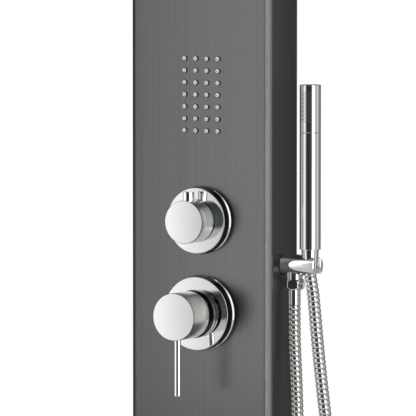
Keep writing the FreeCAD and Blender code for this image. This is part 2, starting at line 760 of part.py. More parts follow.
def valve(kind, axis_z, nose_bore, nose_depth):
    """A valve's fixed pieces: body, lock nut, cover plate, seal, cartridge and gland nut."""
    body, neck, cartridge, nose, plate, flange, height = (
        getattr(D, f"{kind}_{part}")
        for part in (
            "body_radius",
            "neck_radius",
            "cartridge_radius",
            "nose_radius",
            "plate_radius",
            "gland_flange",
            "gland_height",
        )
    )
    at = (D.fitting_x, -D.valve_to_wall, axis_z)
    shoulder = D.panel_depth - D.sheet_wall - D.valve_to_wall
    mouth = shoulder + D.sheet_wall + D.plate_depth
    thread = neck - D.gland_wall
    casting = turned(
        f"{kind}_casting",
        [
            (0, 0),
            (body, 0),
            (body, shoulder),
            (neck, shoulder),
            (neck, mouth),
            (thread, mouth),
            (thread, mouth - D.gland_depth),
            (cartridge + D.turn_play, mouth - D.gland_depth),
            (cartridge + D.turn_play, D.valve_floor),
            (0, D.valve_floor),
        ],
        at,
        "front",
    )
    on_panel = (D.fitting_x, FRONT, axis_z)
    flats = (neck + D.locknut_wall) * 2
    blank = hexagon(f"{kind}_locknut_blank", flats, D.locknut_height, on_panel, "front")
    bore = cylinder(f"{kind}_locknut_thread", neck, D.locknut_height, on_panel, "front")
    node(cut(f"{kind}_locknut", blank, bore))

    depth, edge = D.plate_depth, D.plate_edge
    inner = plate - D.plate_rim
    hole = neck + D.slip_play
    profile = [
        (inner, 0),
        (plate, 0),
        (plate, depth - edge),
        (plate - edge, depth),
        (hole, depth),
        (hole, depth - D.plate_face),
        (inner, depth - D.plate_face),
    ]
    node(turned(f"{kind}_plate", profile, on_panel, "front"))
    outer = inner - D.slip_play
    node(ring(f"{kind}_plate_seal", outer - D.seal_width, outer, D.seal_height, on_panel, "front"))

    step = CARTRIDGE_FLOOR - SHOULDER_Y
    end = CARTRIDGE_FLOOR - NOSE_Y
    profile = [
        (0, 0),
        (cartridge, 0),
        (cartridge, step),
        (nose, step),
        (nose, end),
        (nose_bore, end),
        (nose_bore, nose_depth),
        (0, nose_depth),
    ]
    node(turned(f"{kind}_cartridge", profile, (D.fitting_x, CARTRIDGE_FLOOR, axis_z), "front"))
    opening = nose + D.slip_play
    skirt = thread - D.turn_play
    profile = [
        (opening, 0),
        (skirt, 0),
        (skirt, D.gland_depth),
        (neck + flange, D.gland_depth),
        (neck + flange, D.gland_depth + height),
        (opening, D.gland_depth + height),
    ]
    node(turned(f"{kind}_gland_nut", profile, (D.fitting_x, SHOULDER_Y, axis_z), "front"))
    return casting


def knob_shell(name, radius, wall, face, boss, bore, bore_floor, length, at):
    """A hollow knob with a bored boss behind its face."""
    edge = D.knob_edge
    inner = radius - wall
    profile = [
        (inner, 0),
        (radius, 0),
        (radius, length - edge),
        (radius - edge, length),
        (0, length),
        (0, length - bore_floor),
        (bore, length - bore_floor),
        (bore, length - face - boss),
        (D.boss_radius, length - face - boss),
        (D.boss_radius, length - face),
        (inner, length - face),
    ]
    return turned(name, profile, at, "front")


def diverter():
    """Diverter valve, and the spindle, knob and peg that turn on it."""
    z = DIVERTER_Z
    casting = valve("diverter", z, D.spindle_radius + D.turn_play, D.spindle_seat)
    ports = port_tools("diverter", z, D.diverter_body_radius, ("up", "down", "right"))
    node(cut("diverter_body", casting, *ports))

    spindle_end = FRONT - D.spindle_reach
    start = SPINDLE_Y - D.slip_play
    at = (D.fitting_x, start, z)
    node(cylinder("diverter_spindle", D.spindle_radius, start - spindle_end, at, "front"))

    face = FRONT - D.diverter_reach
    back = PLATE_FACE - D.diverter_gap
    knob = knob_shell(
        "diverter_knob_shell",
        D.diverter_knob_radius,
        D.knob_wall,
        D.knob_face,
        D.diverter_boss,
        D.spindle_radius,
        spindle_end - face - D.slip_play,
        back - face,
        (D.fitting_x, back, z),
    )
    peg_y = face + D.peg_setback
    inner = D.diverter_knob_radius - D.knob_wall
    seat = (D.boss_radius + inner) / 2
    seat_at = (D.fitting_x, peg_y, z + seat)
    wide = cylinder("diverter_peg_seat", D.peg_radius, D.diverter_knob_radius, seat_at)
    narrow = cylinder("diverter_peg_thread", D.peg_shank, seat, (D.fitting_x, peg_y, z))
    node(cut("diverter_knob", knob, wide, narrow))
    tip = D.spindle_radius + D.slip_play
    top = D.diverter_knob_radius + D.peg_rise
    profile = [
        (0, tip),
        (D.peg_shank, tip),
        (D.peg_shank, inner),
        (D.peg_radius, inner),
        (D.peg_radius, top - D.knob_edge),
        (D.peg_radius - D.knob_edge, top),
        (0, top),
    ]
    node(turned("diverter_peg", profile, (D.fitting_x, peg_y, z)))


def mixer():
    """Mixer valve with its inlets, the yoke that turns in it and the lever that tilts on the yoke."""
    z = D.mixer_z
    x = D.fitting_x
    casting = valve("mixer", z, D.yoke_radius + D.turn_play, D.spindle_seat)
    spread, drop = D.inlet_spread, D.inlet_drop
    bar = cylinder("mixer_inlet_bar", D.inlet_bar, spread * 2, (x - spread, PIPE_Y, z), "right")
    stock = [casting, bar]
    tools = port_tools("mixer", z, D.mixer_body_radius, ("up",))
    bore = D.mixer_cartridge_radius + D.turn_play
    tools.append(cylinder("mixer_bore", bore, D.inlet_bar, (x, CARTRIDGE_FLOOR, z), "front"))
    valves = []
    for side in (-1, 1):
        mouth = (x + spread * side, PIPE_Y, z - drop)
        stock.append(cylinder("mixer_inlet", D.inlet_radius, drop + D.inlet_radius, mouth))
        tools.append(cylinder("mixer_inlet_thread", D.inlet_thread, D.inlet_depth, mouth))
        seat = (mouth[0], PIPE_Y, mouth[2] + D.inlet_depth)
        tools.append(cylinder("mixer_check_seat", D.check_radius, D.check_length, seat))
        length = drop - D.inlet_depth + D.pipe_bore + CUT_PAST
        tools.append(cylinder("mixer_inlet_way", D.outlet_bore, length, seat))
        inner = D.port_offset - D.port_radius - CUT_PAST
        facing = "right" if side > 0 else "left"
        inner_at = (x + inner * side, PIPE_Y, z)
        tools.append(cylinder("mixer_cross_way", D.pipe_bore, spread - inner, inner_at, facing))
        length = PIPE_Y - CARTRIDGE_FLOOR + CUT_PAST
        port_at = (x + D.port_offset * side, PIPE_Y, z)
        tools.append(cylinder("mixer_inlet_port", D.port_radius, length, port_at, "front"))
        valves.append(ring("mixer_check_valve", D.outlet_bore, D.check_radius, D.check_length, seat))
    node(cut("mixer_body", join("mixer_stock", *stock), *tools))
    node(group("check_valves", *valves))

    inner = D.mixer_neck_radius + D.mixer_gland_flange + D.slip_play
    lip = D.dome_radius - D.dome_taper
    profile = [
        (inner, 0),
        (D.dome_radius, 0),
        (lip, D.dome_height - D.knob_edge),
        (lip - D.knob_edge, D.dome_height),
        (inner, D.dome_height),
    ]
    node(turned("mixer_collar", profile, (x, PLATE_FACE, z), "front"))

    back = SPINDLE_Y - D.slip_play
    front = PIVOT_Y - D.ear_reach
    rod = cylinder("mixer_yoke_rod", D.yoke_radius, back - front, (x, back, z), "front")
    gap = D.fork_gap
    wide = D.yoke_radius * 2
    slot_at = (x - gap / 2, front - CUT_PAST, z - D.yoke_radius)
    slot = box("mixer_fork_slot", (gap, D.fork_depth + CUT_PAST, wide), slot_at)
    pin_at = (x - D.pin_length / 2, PIVOT_Y, z)
    pin_hole = cylinder("mixer_pin_hole", D.pin_radius, D.pin_length, pin_at, "right")
    node(cut("mixer_yoke", rod, slot, pin_hole))
    node(cylinder("mixer_pin", D.pin_radius, D.pin_length, pin_at, "right"))

    tang = D.tang_width
    eye_at = (x - tang / 2, PIVOT_Y, z)
    eye = cylinder("mixer_stem_eye", D.eye_radius, tang, eye_at, "right")
    flat_at = (x - tang / 2, PIVOT_Y - D.tang_length, z - D.stem_radius)
    flat = box("mixer_stem_tang", (tang, D.tang_length, D.stem_radius * 2), flat_at)
    rod_at = (x, PIVOT_Y - D.tang_length, z)
    shaft = cylinder("mixer_stem_shaft", D.stem_radius, D.stem_length - D.tang_length, rod_at, "front")
    eye_hole = cylinder("mixer_eye_hole", D.pin_radius + D.turn_play, tang, eye_at, "right")
    node(cut("mixer_stem", join("mixer_stem_stock", eye, flat, shaft), eye_hole))

    face = FRONT - D.mixer_reach
    rim = PLATE_FACE - D.mixer_gap
    stem_end = PIVOT_Y - D.stem_length
    cap = knob_shell(
        "mixer_cap_shell",
        D.mixer_cap_radius,
        D.cap_wall,
        D.cap_face,
        D.mixer_boss,
        D.stem_radius,
        stem_end - face - D.slip_play,
        rim - face,
        (x, rim, z),
    )
    lever_at = (x, face + D.lever_setback, z)
    depth = D.mixer_cap_radius + CUT_PAST
    hole = cylinder("mixer_lever_hole", D.lever_radius, depth, lever_at, "down")
    node(cut("mixer_cap", cap, hole))
    tip = D.stem_radius + D.slip_play
    end = D.mixer_cap_radius + D.lever_reach
    edge = D.knob_edge
    profile = [
        (0, tip),
        (D.lever_radius, tip),
        (D.lever_radius, end - edge),
        (D.lever_radius - edge, end),
        (0, end),
    ]
    node(turned("mixer_lever", profile, lever_at, "down"))


def inner_pipes(jets_y, jets_low):
    """Copper pipes between the valves, the jets and the holder, pushed into their sockets."""
    x = D.fitting_x
    seat = D.socket_depth - D.slip_play
    bottom = D.mixer_z + D.mixer_body_radius - seat
    top = DIVERTER_Z - D.diverter_body_radius + seat
    node(ring("mixer_to_diverter_pipe", D.pipe_bore, D.pipe_radius, top - bottom, (x, PIPE_Y, bottom)))

    start = DIVERTER_Z + D.diverter_body_radius - seat
    end = jets_low - D.slip_play
    rise = D.socket_depth + D.pipe_bend / 2
    jog = [
        (x, PIPE_Y, start),
        (x, PIPE_Y, start + rise),
        (x, jets_y, end - rise),
        (x, jets_y, end),
    ]
    node(pipe("diverter_to_jets_pipe", jog, V(1, 0, 0)))

    spigot = SIDE + D.washer_wall - D.spigot_length
    drop_x = spigot - D.pipe_bend * 1.5
    bends = [
        (x + D.diverter_body_radius - seat, PIPE_Y, DIVERTER_Z),
        (drop_x, PIPE_Y, DIVERTER_Z),
        (drop_x, HOLDER_Y, HOLDER_Z),
        (spigot + seat, HOLDER_Y, HOLDER_Z),
    ]
    node(pipe("diverter_to_holder_pipe", bends, V(0, 1, 0)))


# Holder, hose and hand shower


def cone_radius(height):
    """Radius of the cone nut at a height above the holder's axis."""
    taper = (D.cone_top - D.cone_bottom) / D.cone_length
    return D.cone_top - (D.wand_lift - height) * taper


def holder():
    """The arm on the panel's side: water outlet below, tapered socket for the hand shower at its end."""
    spigot, arm = D.spigot_length, D.arm_length - D.washer_wall
    base = SIDE + D.washer_wall
    water_end = spigot + D.outlet_reach - D.washer_wall + D.outlet_bore
    profile = [
        (D.pipe_radius, 0),
        (D.spigot_radius, 0),
        (D.spigot_radius, spigot),
        (D.arm_radius, spigot),
        (D.arm_radius, spigot + arm - D.arm_edge),
        (D.arm_radius - D.arm_edge, spigot + arm),
        (0, spigot + arm),
        (0, water_end),
        (D.pipe_bore, water_end),
        (D.pipe_bore, D.socket_depth),
        (D.pipe_radius, D.socket_depth),
    ]
    stock = turned("holder_stock", profile, (base - spigot, HOLDER_Y, HOLDER_Z), "right")
    drop = D.arm_radius + D.outlet_stub + D.outlet_thread
    at = (OUTLET_X, HOLDER_Y, HOLDER_Z)
    stub = cylinder("holder_outlet", D.outlet_radius, drop, at, "down")
    way = cylinder("holder_outlet_way", D.outlet_bore, drop + CUT_PAST, at, "down")
    reach = D.arm_radius + CUT_PAST
    socket = primitive(
        "Part::Cone",
        "holder_socket",
        (HAND_X, HOLDER_Y, HOLDER_Z - reach),
        "up",
        Radius1=cone_radius(-reach) + D.slip_play,
        Radius2=cone_radius(reach) + D.slip_play,
        Height=reach * 2,
    )
    corner = (HAND_X, HOLDER_Y - D.slot_width / 2, HOLDER_Z - reach)
    slot = box("holder_slot", (D.arm_length, D.slot_width, reach * 2), corner)
    bored = cut("holder_bored", join("holder_casting", stock, stub), way)
    node(cut("holder_arm", bored, socket, slot))

    opening = D.spigot_radius + D.slip_play
    node(ring("holder_washer", opening, D.arm_radius, D.washer_wall, (SIDE, HOLDER_Y, HOLDER_Z), "right"))
    seat = (SIDE - D.sheet_wall - D.locknut_height, HOLDER_Y, HOLDER_Z)
    flats = (D.spigot_radius + D.locknut_wall) * 2
    blank = hexagon("holder_locknut_blank", flats, D.locknut_height, seat, "right")
    thread = cylinder("holder_locknut_thread", D.spigot_radius, D.locknut_height, seat, "right")
    node(cut("holder_locknut", blank, thread))


def hose_ends():
    """Nut, seal and ferrule under the outlet, and ferrule, seal and cone nut under the hand shower."""
    nut_top = HOLDER_Z - D.arm_radius - D.outlet_stub
    low = nut_top - D.union_height
    thread_end = nut_top - D.outlet_thread
    collar_top = thread_end - D.seal_wall
    collar_low = collar_top - D.collar_height
    at = (OUTLET_X, HOLDER_Y, low)
    blank = hexagon("union_blank", D.union_flats, D.union_height, at, "up_turned")
    thread_at = (OUTLET_X, HOLDER_Y, collar_low)
    thread = cylinder("union_thread", D.outlet_radius + D.turn_play, D.union_height, thread_at)
    mouth = cylinder("union_mouth", D.ferrule_radius + D.slip_play, D.union_height, at)
    node(cut("hose_union_nut", blank, thread, mouth))
    seal_at = (OUTLET_X, HOLDER_Y, collar_top)
    node(ring("outlet_seal", D.outlet_bore, D.collar_radius, D.seal_wall, seal_at))
    length = D.ferrule_length + collar_low - low
    profile = [
        (D.ferrule_bore, 0),
        (D.ferrule_radius, 0),
        (D.ferrule_radius, length),
        (D.collar_radius, length),
        (D.collar_radius, length + D.collar_height),
        (D.ferrule_bore, length + D.collar_height),
    ]
    node(turned("outlet_ferrule", profile, (OUTLET_X, HOLDER_Y, low - D.ferrule_length)))

    bottom = WAND_Z - D.cone_length
    lip = D.cone_lip
    inner = D.cone_thread
    mouth = D.ferrule_radius + D.slip_play
    profile = [
        (mouth, 0),
        (D.cone_bottom, 0),
        (D.cone_top, D.cone_length),
        (inner, D.cone_length),
        (inner, lip),
        (mouth, lip),
    ]
    at = (HAND_X, HOLDER_Y, bottom)
    node(turned("cone_nut", profile, at))
    tail = D.tail_length
    seal_z = WAND_Z - D.nipple_length - D.seal_wall
    collar = inner - D.slip_play
    top = seal_z - bottom + tail
    profile = [
        (D.ferrule_bore, 0),
        (D.ferrule_radius, 0),
        (D.ferrule_radius, tail + lip),
        (collar, tail + lip),
        (collar, top),
        (D.ferrule_bore, top),
    ]
    node(turned("handset_ferrule", profile, (HAND_X, HOLDER_Y, bottom - tail)))
    node(ring("handset_seal", D.nipple_way, collar, D.seal_wall, (HAND_X, HOLDER_Y, seal_z)))


def shower_hose():
    """The ribbed metal hose, hanging in one loop: a bored tube with a ring of four circles for each rib."""
    low = HOLDER_Z - D.arm_radius - D.outlet_stub - D.union_height - D.ferrule_length
    hand_low = WAND_Z - D.cone_length - D.tail_length
    ends = ((OUTLET_X, low, HOSE_FROM_OUTLET), (HAND_X, hand_low, HOSE_FROM_HAND[::-1]))
    points = [V(x.value + i, HOLDER_Y.value, z.value + j) for x, z, steps in ends for i, j in steps]
    radii = widest_radii(points)
    path = rounded_path(points, radii)
    length = sum(piece[0] for piece in path)
    steady = V(0, 1, 0)
    crest = D.hose_radius.value
    groove = crest - D.rib_depth.value
    bore = D.ferrule_bore.value
    cuff = crest * 2
    pitch = (length - cuff * 2) / HOSE_RIBS
    stations = [(0, crest)]
    for rib in range(HOSE_RIBS):
        start = cuff + rib * pitch
        stations += [
            (start + pitch * RIB_GROOVE[0], groove),
            (start + pitch * RIB_CREST[0], crest),
            (start + pitch * RIB_CREST[1], crest),
            (start + pitch * RIB_GROOVE[1], groove),
        ]
    stations += [(length - cuff, crest), (length, crest)]

    def spot(distance):
        for size, at, _ in path[:-1]:
            if distance <= size:
                return at(distance)
            distance -= size
        return path[-1][1](distance)

    def tube(rings):
        return Part.makeLoft([circle_wire(*spot(s), steady, radius) for s, radius in rings], True, True)

    outer = tube(stations)
    inner = tube([(s, bore) for s, _ in stations[::4]] + [(length, bore)])
    solid = outer.cut(inner)
    hose = DOC.addObject("Part::Feature", "shower_hose")
    hose.Shape = solid
    node(hose)
    section = math.pi * ((crest - D.rib_depth.value / 4) ** 2 - bore**2)
    print(f"hose length {length:.1f}, volume {solid.Volume:.0f}, section by length {section * length:.0f}")
    print("hose radii", [round(r) for r in radii])


def hand_shower():
    """The hand shower: handle and spray head tubes, what joins them and what feeds them."""
    at = (HAND_X, HOLDER_Y, WAND_Z)
    outer, edge = D.wand_radius, D.wand_edge
    inner = outer - D.wand_wall
    seam = D.wand_length - D.head_length
    handle_top = seam - D.seam_gap
    profile = [
        (inner, 0),
        (outer - edge, 0),
        (outer, edge),
        (outer, handle_top),
        (inner, handle_top),
    ]
    node(turned("wand_handle", profile, at))

    top = D.head_length
    profile = [
        (inner, 0),
        (outer, 0),
        (outer, top - edge),
        (outer - edge, top),
        (0, top),
        (0, top - D.head_top),
        (inner, top - D.head_top),
    ]
    head = turned("wand_head_shell", profile, (HAND_X, HOLDER_Y, WAND_Z + seam))
    spray_top = WAND_Z + D.wand_length - D.spray_drop

    def spray_block(name, play):
        wide = D.spray_width - play * 2
        low = (HAND_X - wide / 2, HOLDER_Y - outer - CUT_PAST, spray_top - D.spray_height + play)
        return box(name, (wide, outer + CUT_PAST, D.spray_height - play * 2), low)

    node(cut("wand_head", head, spray_block("wand_window", as_size(0))))
    low = spray_top - D.spray_height
    curve = ring("spray_curve", inner, outer, D.spray_height, (HAND_X, HOLDER_Y, low))
    insert = DOC.addObject("Part::Common", "spray_insert")
    insert.Base = curve
    insert.Tool = spray_block("spray_block", D.spray_play)
    node(insert)

    half = D.coupling_length / 2
    seam_at = (HAND_X, HOLDER_Y, WAND_Z + seam - half)
    node(ring("wand_coupling", inner - D.coupling_wall, inner, D.coupling_length, seam_at))
    thread = D.cone_thread
    nipple = D.nipple_length
    profile = [
        (D.nipple_way, 0),
        (thread, 0),
        (thread, nipple),
        (inner, nipple),
        (inner, nipple + D.plug_length),
        (D.nipple_way, nipple + D.plug_length),
    ]
    node(turned("wand_plug", profile, (HAND_X, HOLDER_Y, WAND_Z - nipple)))
    tube_end = seam - half
    length = tube_end - D.plug_length
    tube_at = (HAND_X, HOLDER_Y, WAND_Z + D.plug_length)
    node(ring("wand_water_tube", D.nipple_way, D.tube_radius, length, tube_at))


def check_and_export():
    """Stops on any failed object, then writes each sub-part."""
    DOC.recompute()
    bad = [thing.Label for thing in DOC.Objects if {"Invalid", "Error"} & set(thing.State)]
    bad += [piece.Label for piece in NODES if piece.Shape.isNull() or not piece.Shape.isValid()]
    if bad:
        raise RuntimeError(f"failed objects: {bad}")
    os.makedirs("parts", exist_ok=True)
    for piece in NODES:
        piece.Shape.exportStep(f"parts/{piece.Label}.step")
        extent = piece.Shape.BoundBox
        spans = [f"{axis} {low:.2f} to {high:.2f}" for axis, low, high in (
            ("X", extent.XMin, extent.XMax),
            ("Y", extent.YMin, extent.YMax),
            ("Z", extent.ZMin, extent.ZMax),
        )]
        print(piece.Label, len(piece.Shape.Solids), round(piece.Shape.Volume), *spans)


front_panel()
end_caps()
hanging()
jets_y, jets_low = jets()
diverter()
mixer()
inner_pipes(jets_y, jets_low)
holder()
hose_ends()
shower_hose()
hand_shower()
check_and_export()
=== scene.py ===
"""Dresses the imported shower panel: its finishes, its ribbed hose, its jets and the studio around it."""
import json
import math

import bmesh
import bpy
from bpy.props import FloatProperty, FloatVectorProperty, IntProperty, PointerProperty, StringProperty
from bpy.types import NodeSocket, Operator, Panel, PropertyGroup
from mathutils import Matrix, Vector


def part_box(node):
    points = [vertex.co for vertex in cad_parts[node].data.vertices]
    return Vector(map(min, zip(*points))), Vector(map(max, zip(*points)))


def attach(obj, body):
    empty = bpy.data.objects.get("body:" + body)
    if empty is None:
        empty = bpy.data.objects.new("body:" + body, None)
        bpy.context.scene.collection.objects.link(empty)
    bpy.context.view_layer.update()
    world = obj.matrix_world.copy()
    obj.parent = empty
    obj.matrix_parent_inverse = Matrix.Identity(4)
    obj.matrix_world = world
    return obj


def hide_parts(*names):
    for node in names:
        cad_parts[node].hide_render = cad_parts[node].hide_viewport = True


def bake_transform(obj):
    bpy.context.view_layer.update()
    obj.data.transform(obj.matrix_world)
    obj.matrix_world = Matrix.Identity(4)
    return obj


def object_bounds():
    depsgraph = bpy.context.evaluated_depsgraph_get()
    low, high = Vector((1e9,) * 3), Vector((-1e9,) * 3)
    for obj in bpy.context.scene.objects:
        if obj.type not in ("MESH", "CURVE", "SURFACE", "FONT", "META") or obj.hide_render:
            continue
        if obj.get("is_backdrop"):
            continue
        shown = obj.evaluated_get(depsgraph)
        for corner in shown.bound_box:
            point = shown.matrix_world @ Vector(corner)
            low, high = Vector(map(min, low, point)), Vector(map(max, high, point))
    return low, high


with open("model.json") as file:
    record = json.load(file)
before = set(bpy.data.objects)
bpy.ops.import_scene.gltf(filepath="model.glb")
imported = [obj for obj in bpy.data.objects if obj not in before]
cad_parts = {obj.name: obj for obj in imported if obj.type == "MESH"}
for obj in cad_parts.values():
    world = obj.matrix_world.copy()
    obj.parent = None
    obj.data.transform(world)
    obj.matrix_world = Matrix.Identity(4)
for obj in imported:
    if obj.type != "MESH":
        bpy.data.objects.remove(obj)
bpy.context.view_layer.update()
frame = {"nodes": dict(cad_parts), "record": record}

bl_info = {
    "name": "Shower panel",
    "version": (1, 0, 0),
    "blender": (4, 5, 0),
    "location": "View3D > Sidebar > Shower panel",
    "description": "Finishes and studio for a wall-hung shower panel with a hand shower",
    "category": "Object",
}

NODES = frame["nodes"]
MM = 0.001

# Kinds of nodes that come up often
ATTRIBUTE = "GeometryNodeInputNamedAttribute"
MATH = "ShaderNodeMath"
MIX = "ShaderNodeMix"
NOISE = "ShaderNodeTexNoise"
RAMP = "ShaderNodeValToRGB"
RANGE = "ShaderNodeMapRange"
SPLIT = "ShaderNodeSeparateXYZ"
STORE = "GeometryNodeStoreNamedAttribute"

# Finishes that the pieces of the scene share
POLISHED = "Polished chrome plating"
TURNED = "Turned chrome plating"
SHADED = "Shaded chrome plating"
SPUN = "Spun chrome plating"

# The plane of the holder's axis, and in it the hose's route from the outlet down, round and up to the hand
# shower: metres to the right and up.
HOLDER_Y = -0.031
HOSE_ROUTE = [
    (0.1090, 0.0419),
    (0.1090, 0.0008),
    (0.1122, -0.0532),
    (0.1144, -0.1332),
    (0.1134, -0.2372),
    (0.1118, -0.3412),
    (0.1114, -0.4252),
    (0.1130, -0.4852),
    (0.1130, -0.5368),
    (0.1366, -0.5776),
    (0.1774, -0.6012),
    (0.2246, -0.6012),
    (0.2654, -0.5776),
    (0.2890, -0.5368),
    (0.2890, -0.4892),
    (0.2760, -0.4352),
    (0.2500, -0.3572),
    (0.2170, -0.2722),
    (0.1800, -0.1882),
    (0.1545, -0.1152),
    (0.1462, -0.0532),
    (0.1405, -0.0052),
    (0.1362, 0.0378),
    (0.1338, 0.0600),
    (0.1300, 0.0778),
]

# Grey of the studio round the object: degrees to the right of the panel's front, sRGB value, times brighter.
STUDIO_BANDS = [
    (-180, "#5c5c5c", 1.0),
    (-140, "#808080", 1.0),
    (-99, "#6c6c6c", 1.0),
    (-78, "#9c9c9c", 1.0),
    (-61, "#a0a0a0", 1.0),
    (-47, "#c0c0c0", 1.0),
    (-40, "#ffffff", 1.1),
    (-34, "#fcfcfc", 1.0),
    (-30, "#eaeaea", 1.0),
    (-26, "#d8d8d8", 1.0),
    (-22, "#c6c6c6", 1.0),
    (-17, "#787878", 1.0),
    (-12, "#444444", 1.0),
    (0, "#2c2c2c", 1.0),
    (12, "#303030", 1.0),
    (23, "#3c3c3c", 1.0),
    (34, "#383838", 1.0),
    (46, "#606060", 1.0),
    (50, "#ffffff", 1.0),
    (52, "#ffffff", 2.6),
    (66, "#ffffff", 2.2),
    (80, "#ffffff", 1.0),
    (89, "#ababab", 1.0),
    (102, "#aaaaaa", 1.0),
    (115, "#e6e6e6", 1.0),
    (131, "#929292", 1.0),
    (150, "#808080", 1.0),
    (180, "#5c5c5c", 1.0),
]

# Lamps for the whole object: degrees to the right of the panel's front and above the horizon, metres away,
# metres wide and high, watts.
ROOM_LAMPS = [
    ("left_softbox", -48, 38, 2.4, (0.8, 1.1), 30),
    ("right_softbox", 70, 30, 2.6, (1.2, 1.6), 12),
    ("top_softbox", 0, 80, 2.2, (1.4, 1.4), 10),
]
# Lamps for single pieces, given in the same way: three for the panel's sheet, so that it lightens to the
# right and its fold and side shine, one for the holder's arm, one for the sides of knob and cap, and two for
# the thin lever and peg.
PIECE_LAMPS = {
    "sheet": [
        ("sheet_softbox", -24, 2, 0.9, (0.3, 0.8), 1.05),
        ("fold_softbox", 18, 2, 2.0, (0.12, 1.8), 3.0),
        ("side_softbox", 90, 2, 1.1, (0.8, 1.6), 14.0),
    ],
    "arm": [("arm_softbox", -42, 22, 1.5, (0.9, 1.0), 3.4)],
    "knobs": [("knob_softbox", 154, 5, 0.7, (0.7, 0.8), 0.62)],
    "rods": [
        ("rod_left_softbox", -76, 10, 0.4, (0.4, 0.8), 0.9),
        ("rod_right_softbox", 90, 10, 0.4, (0.25, 0.8), 0.6),
    ],
}
# The pieces that these lamps light, and the point between knob and cap that theirs is aimed at
LIT_PIECES = {
    "sheet": ["front_panel", "top_cap", "bottom_cap"],
    "arm": ["holder_arm_eased"],
    "knobs": ["diverter_knob_turned", "mixer_cap_turned"],
    "rods": ["mixer_lever_turned", "diverter_peg_turned"],
}
KNOBS_MIDDLE = (0, -0.1, 0.09)
# Only the floor shades these two, so the hose leaves no shadow on the panel's side, and the lamp of the
# knobs shines through the panel.
THROUGH_LAMPS = ["side_softbox", "knob_softbox"]

# Light and shade painted into the sheet's colour over its left and right folds and down its sides towards
# the wall: mm behind the front, times.
LEFT_FOLD_PAINTED_LIGHT = [
    (0.0, 1.0),
    (0.2, 0.9),
    (0.8, 0.62),
    (2.5, 0.38),
    (5.9, 0.6),
    (8.0, 1.2),
    (30.0, 1.0),
    (66.0, 0.65),
]
RIGHT_FOLD_PAINTED_LIGHT = [
    (0.0, 1.0),
    (0.12, 1.5),
    (0.31, 4.0),
    (0.75, 4.6),
    (1.3, 3.2),
    (2.05, 1.2),
    (2.97, 0.5),
    (4.0, 0.35),
    (5.9, 0.6),
    (8.0, 1.2),
    (30.0, 1.0),
    (66.0, 0.65),
]

# Shade painted into the plating of the knobs, the ring and the plates: how far the surface faces front,
# times. Knob and cap get a painted dark line on the rounded edges of their face, the ring's face and slope
# are painted dark as the shade of the gap under the cap, and the plates' flanks are painted dark as the
# shaded panel that they mirror.
KNOB_PAINTED_SHADE = [(0.0, 1.0), (0.06, 1.0), (0.2, 0.06), (0.92, 0.06), (0.985, 1.0)]
RING_PAINTED_SHADE = [(0.0, 1.0), (0.06, 1.0), (0.2, 0.06), (1.0, 0.06)]
PLATE_PAINTED_SHADE = [(0.0, 0.12), (0.12, 0.12), (0.25, 1.0)]


# Sizes and colours that a user would change


class HoseSizes(PropertyGroup):
    diameter: FloatProperty(
        name="Diameter",
        description="Outside of the hose, over its ribs",
        default=0.015,
        unit="LENGTH",
    )
    pitch: FloatProperty(
        name="Rib pitch",
        description="From one turn of the wound strip to the next",
        default=0.00605,
        unit="LENGTH",
    )
    groove: FloatProperty(
        name="Groove",
        description="Depth of the groove between two turns",
        default=0.0014,
        unit="LENGTH",
    )
    sides: IntProperty(name="Sides", description="Faces round the hose", default=28, min=8)
    length: FloatProperty(
        name="Length",
        description="Length along the middle of the hose between its ferrules",
        default=1.448,
        unit="LENGTH",
    )
    nut_turn: FloatProperty(
        name="Nut's turn",
        description="How far the union nut's flats are turned from the panel's front",
        default=math.radians(16.4),
        subtype="ANGLE",
    )


class JetSizes(PropertyGroup):
    columns: IntProperty(name="Columns", description="Jets across", default=4, min=1)
    rows: IntProperty(name="Rows", description="Jets from top to bottom", default=7, min=1)
    pitch_x: FloatProperty(name="Across", description="Jet to jet, across", default=0.015, unit="LENGTH")
    pitch_z: FloatProperty(name="Down", description="Jet to jet, down", default=0.0142, unit="LENGTH")
    radius: FloatProperty(name="Radius", description="Nipple's radius", default=0.0027, unit="LENGTH")
    mat: FloatProperty(name="Mat", description="Mat behind the nipples", default=0.0025, unit="LENGTH")
    bore: FloatProperty(name="Bore", description="Radius of the water hole", default=0.00055, unit="LENGTH")


class SpraySizes(PropertyGroup):
    columns: IntProperty(name="Columns", description="Spray holes in a full row", default=5, min=2)
    rows: IntProperty(name="Rows", description="Full rows of spray holes", default=8, min=2)
    pitch_x: FloatProperty(
        name="Across",
        description="Hole to hole, round the head",
        default=0.0033,
        unit="LENGTH",
    )
    pitch_z: FloatProperty(name="Down", description="Full row to full row", default=0.0048, unit="LENGTH")
    radius: FloatProperty(name="Radius", description="Spray hole's radius", default=0.00075, unit="LENGTH")


class Finishes(PropertyGroup):
    panel: StringProperty(name="Panel", description="Brushed panel, sRGB hex", default="#5f5f5e")
    chrome: StringProperty(name="Chrome", description="Polished plating, sRGB hex", default="#f4f5f5")
    hose: StringProperty(name="Hose", description="Wound plated strip, sRGB hex", default="#f4f4f1")
    silicone: StringProperty(name="Silicone", description="Soft nozzles, sRGB hex", default="#dadad7")
    brass: StringProperty(name="Brass", description="Cast valve bodies, sRGB hex", default="#c2a35c")
    copper: StringProperty(name="Copper", description="Inner pipes, sRGB hex", default="#c8896a")
    zinc: StringProperty(name="Zinc", description="Plated steel fixings, sRGB hex", default="#b5b8ba")
    moulding: StringProperty(name="Moulding", description="Plastic pieces, sRGB hex", default="#dcdbd4")
    rubber: StringProperty(name="Rubber", description="Seals and washers, sRGB hex", default="#1c1c1c")
    nozzle: StringProperty(name="Nozzles", description="Fine spray nozzles, sRGB hex", default="#565656")
    floor: StringProperty(name="Floor", description="Studio floor, sRGB hex", default="#dcdcda")


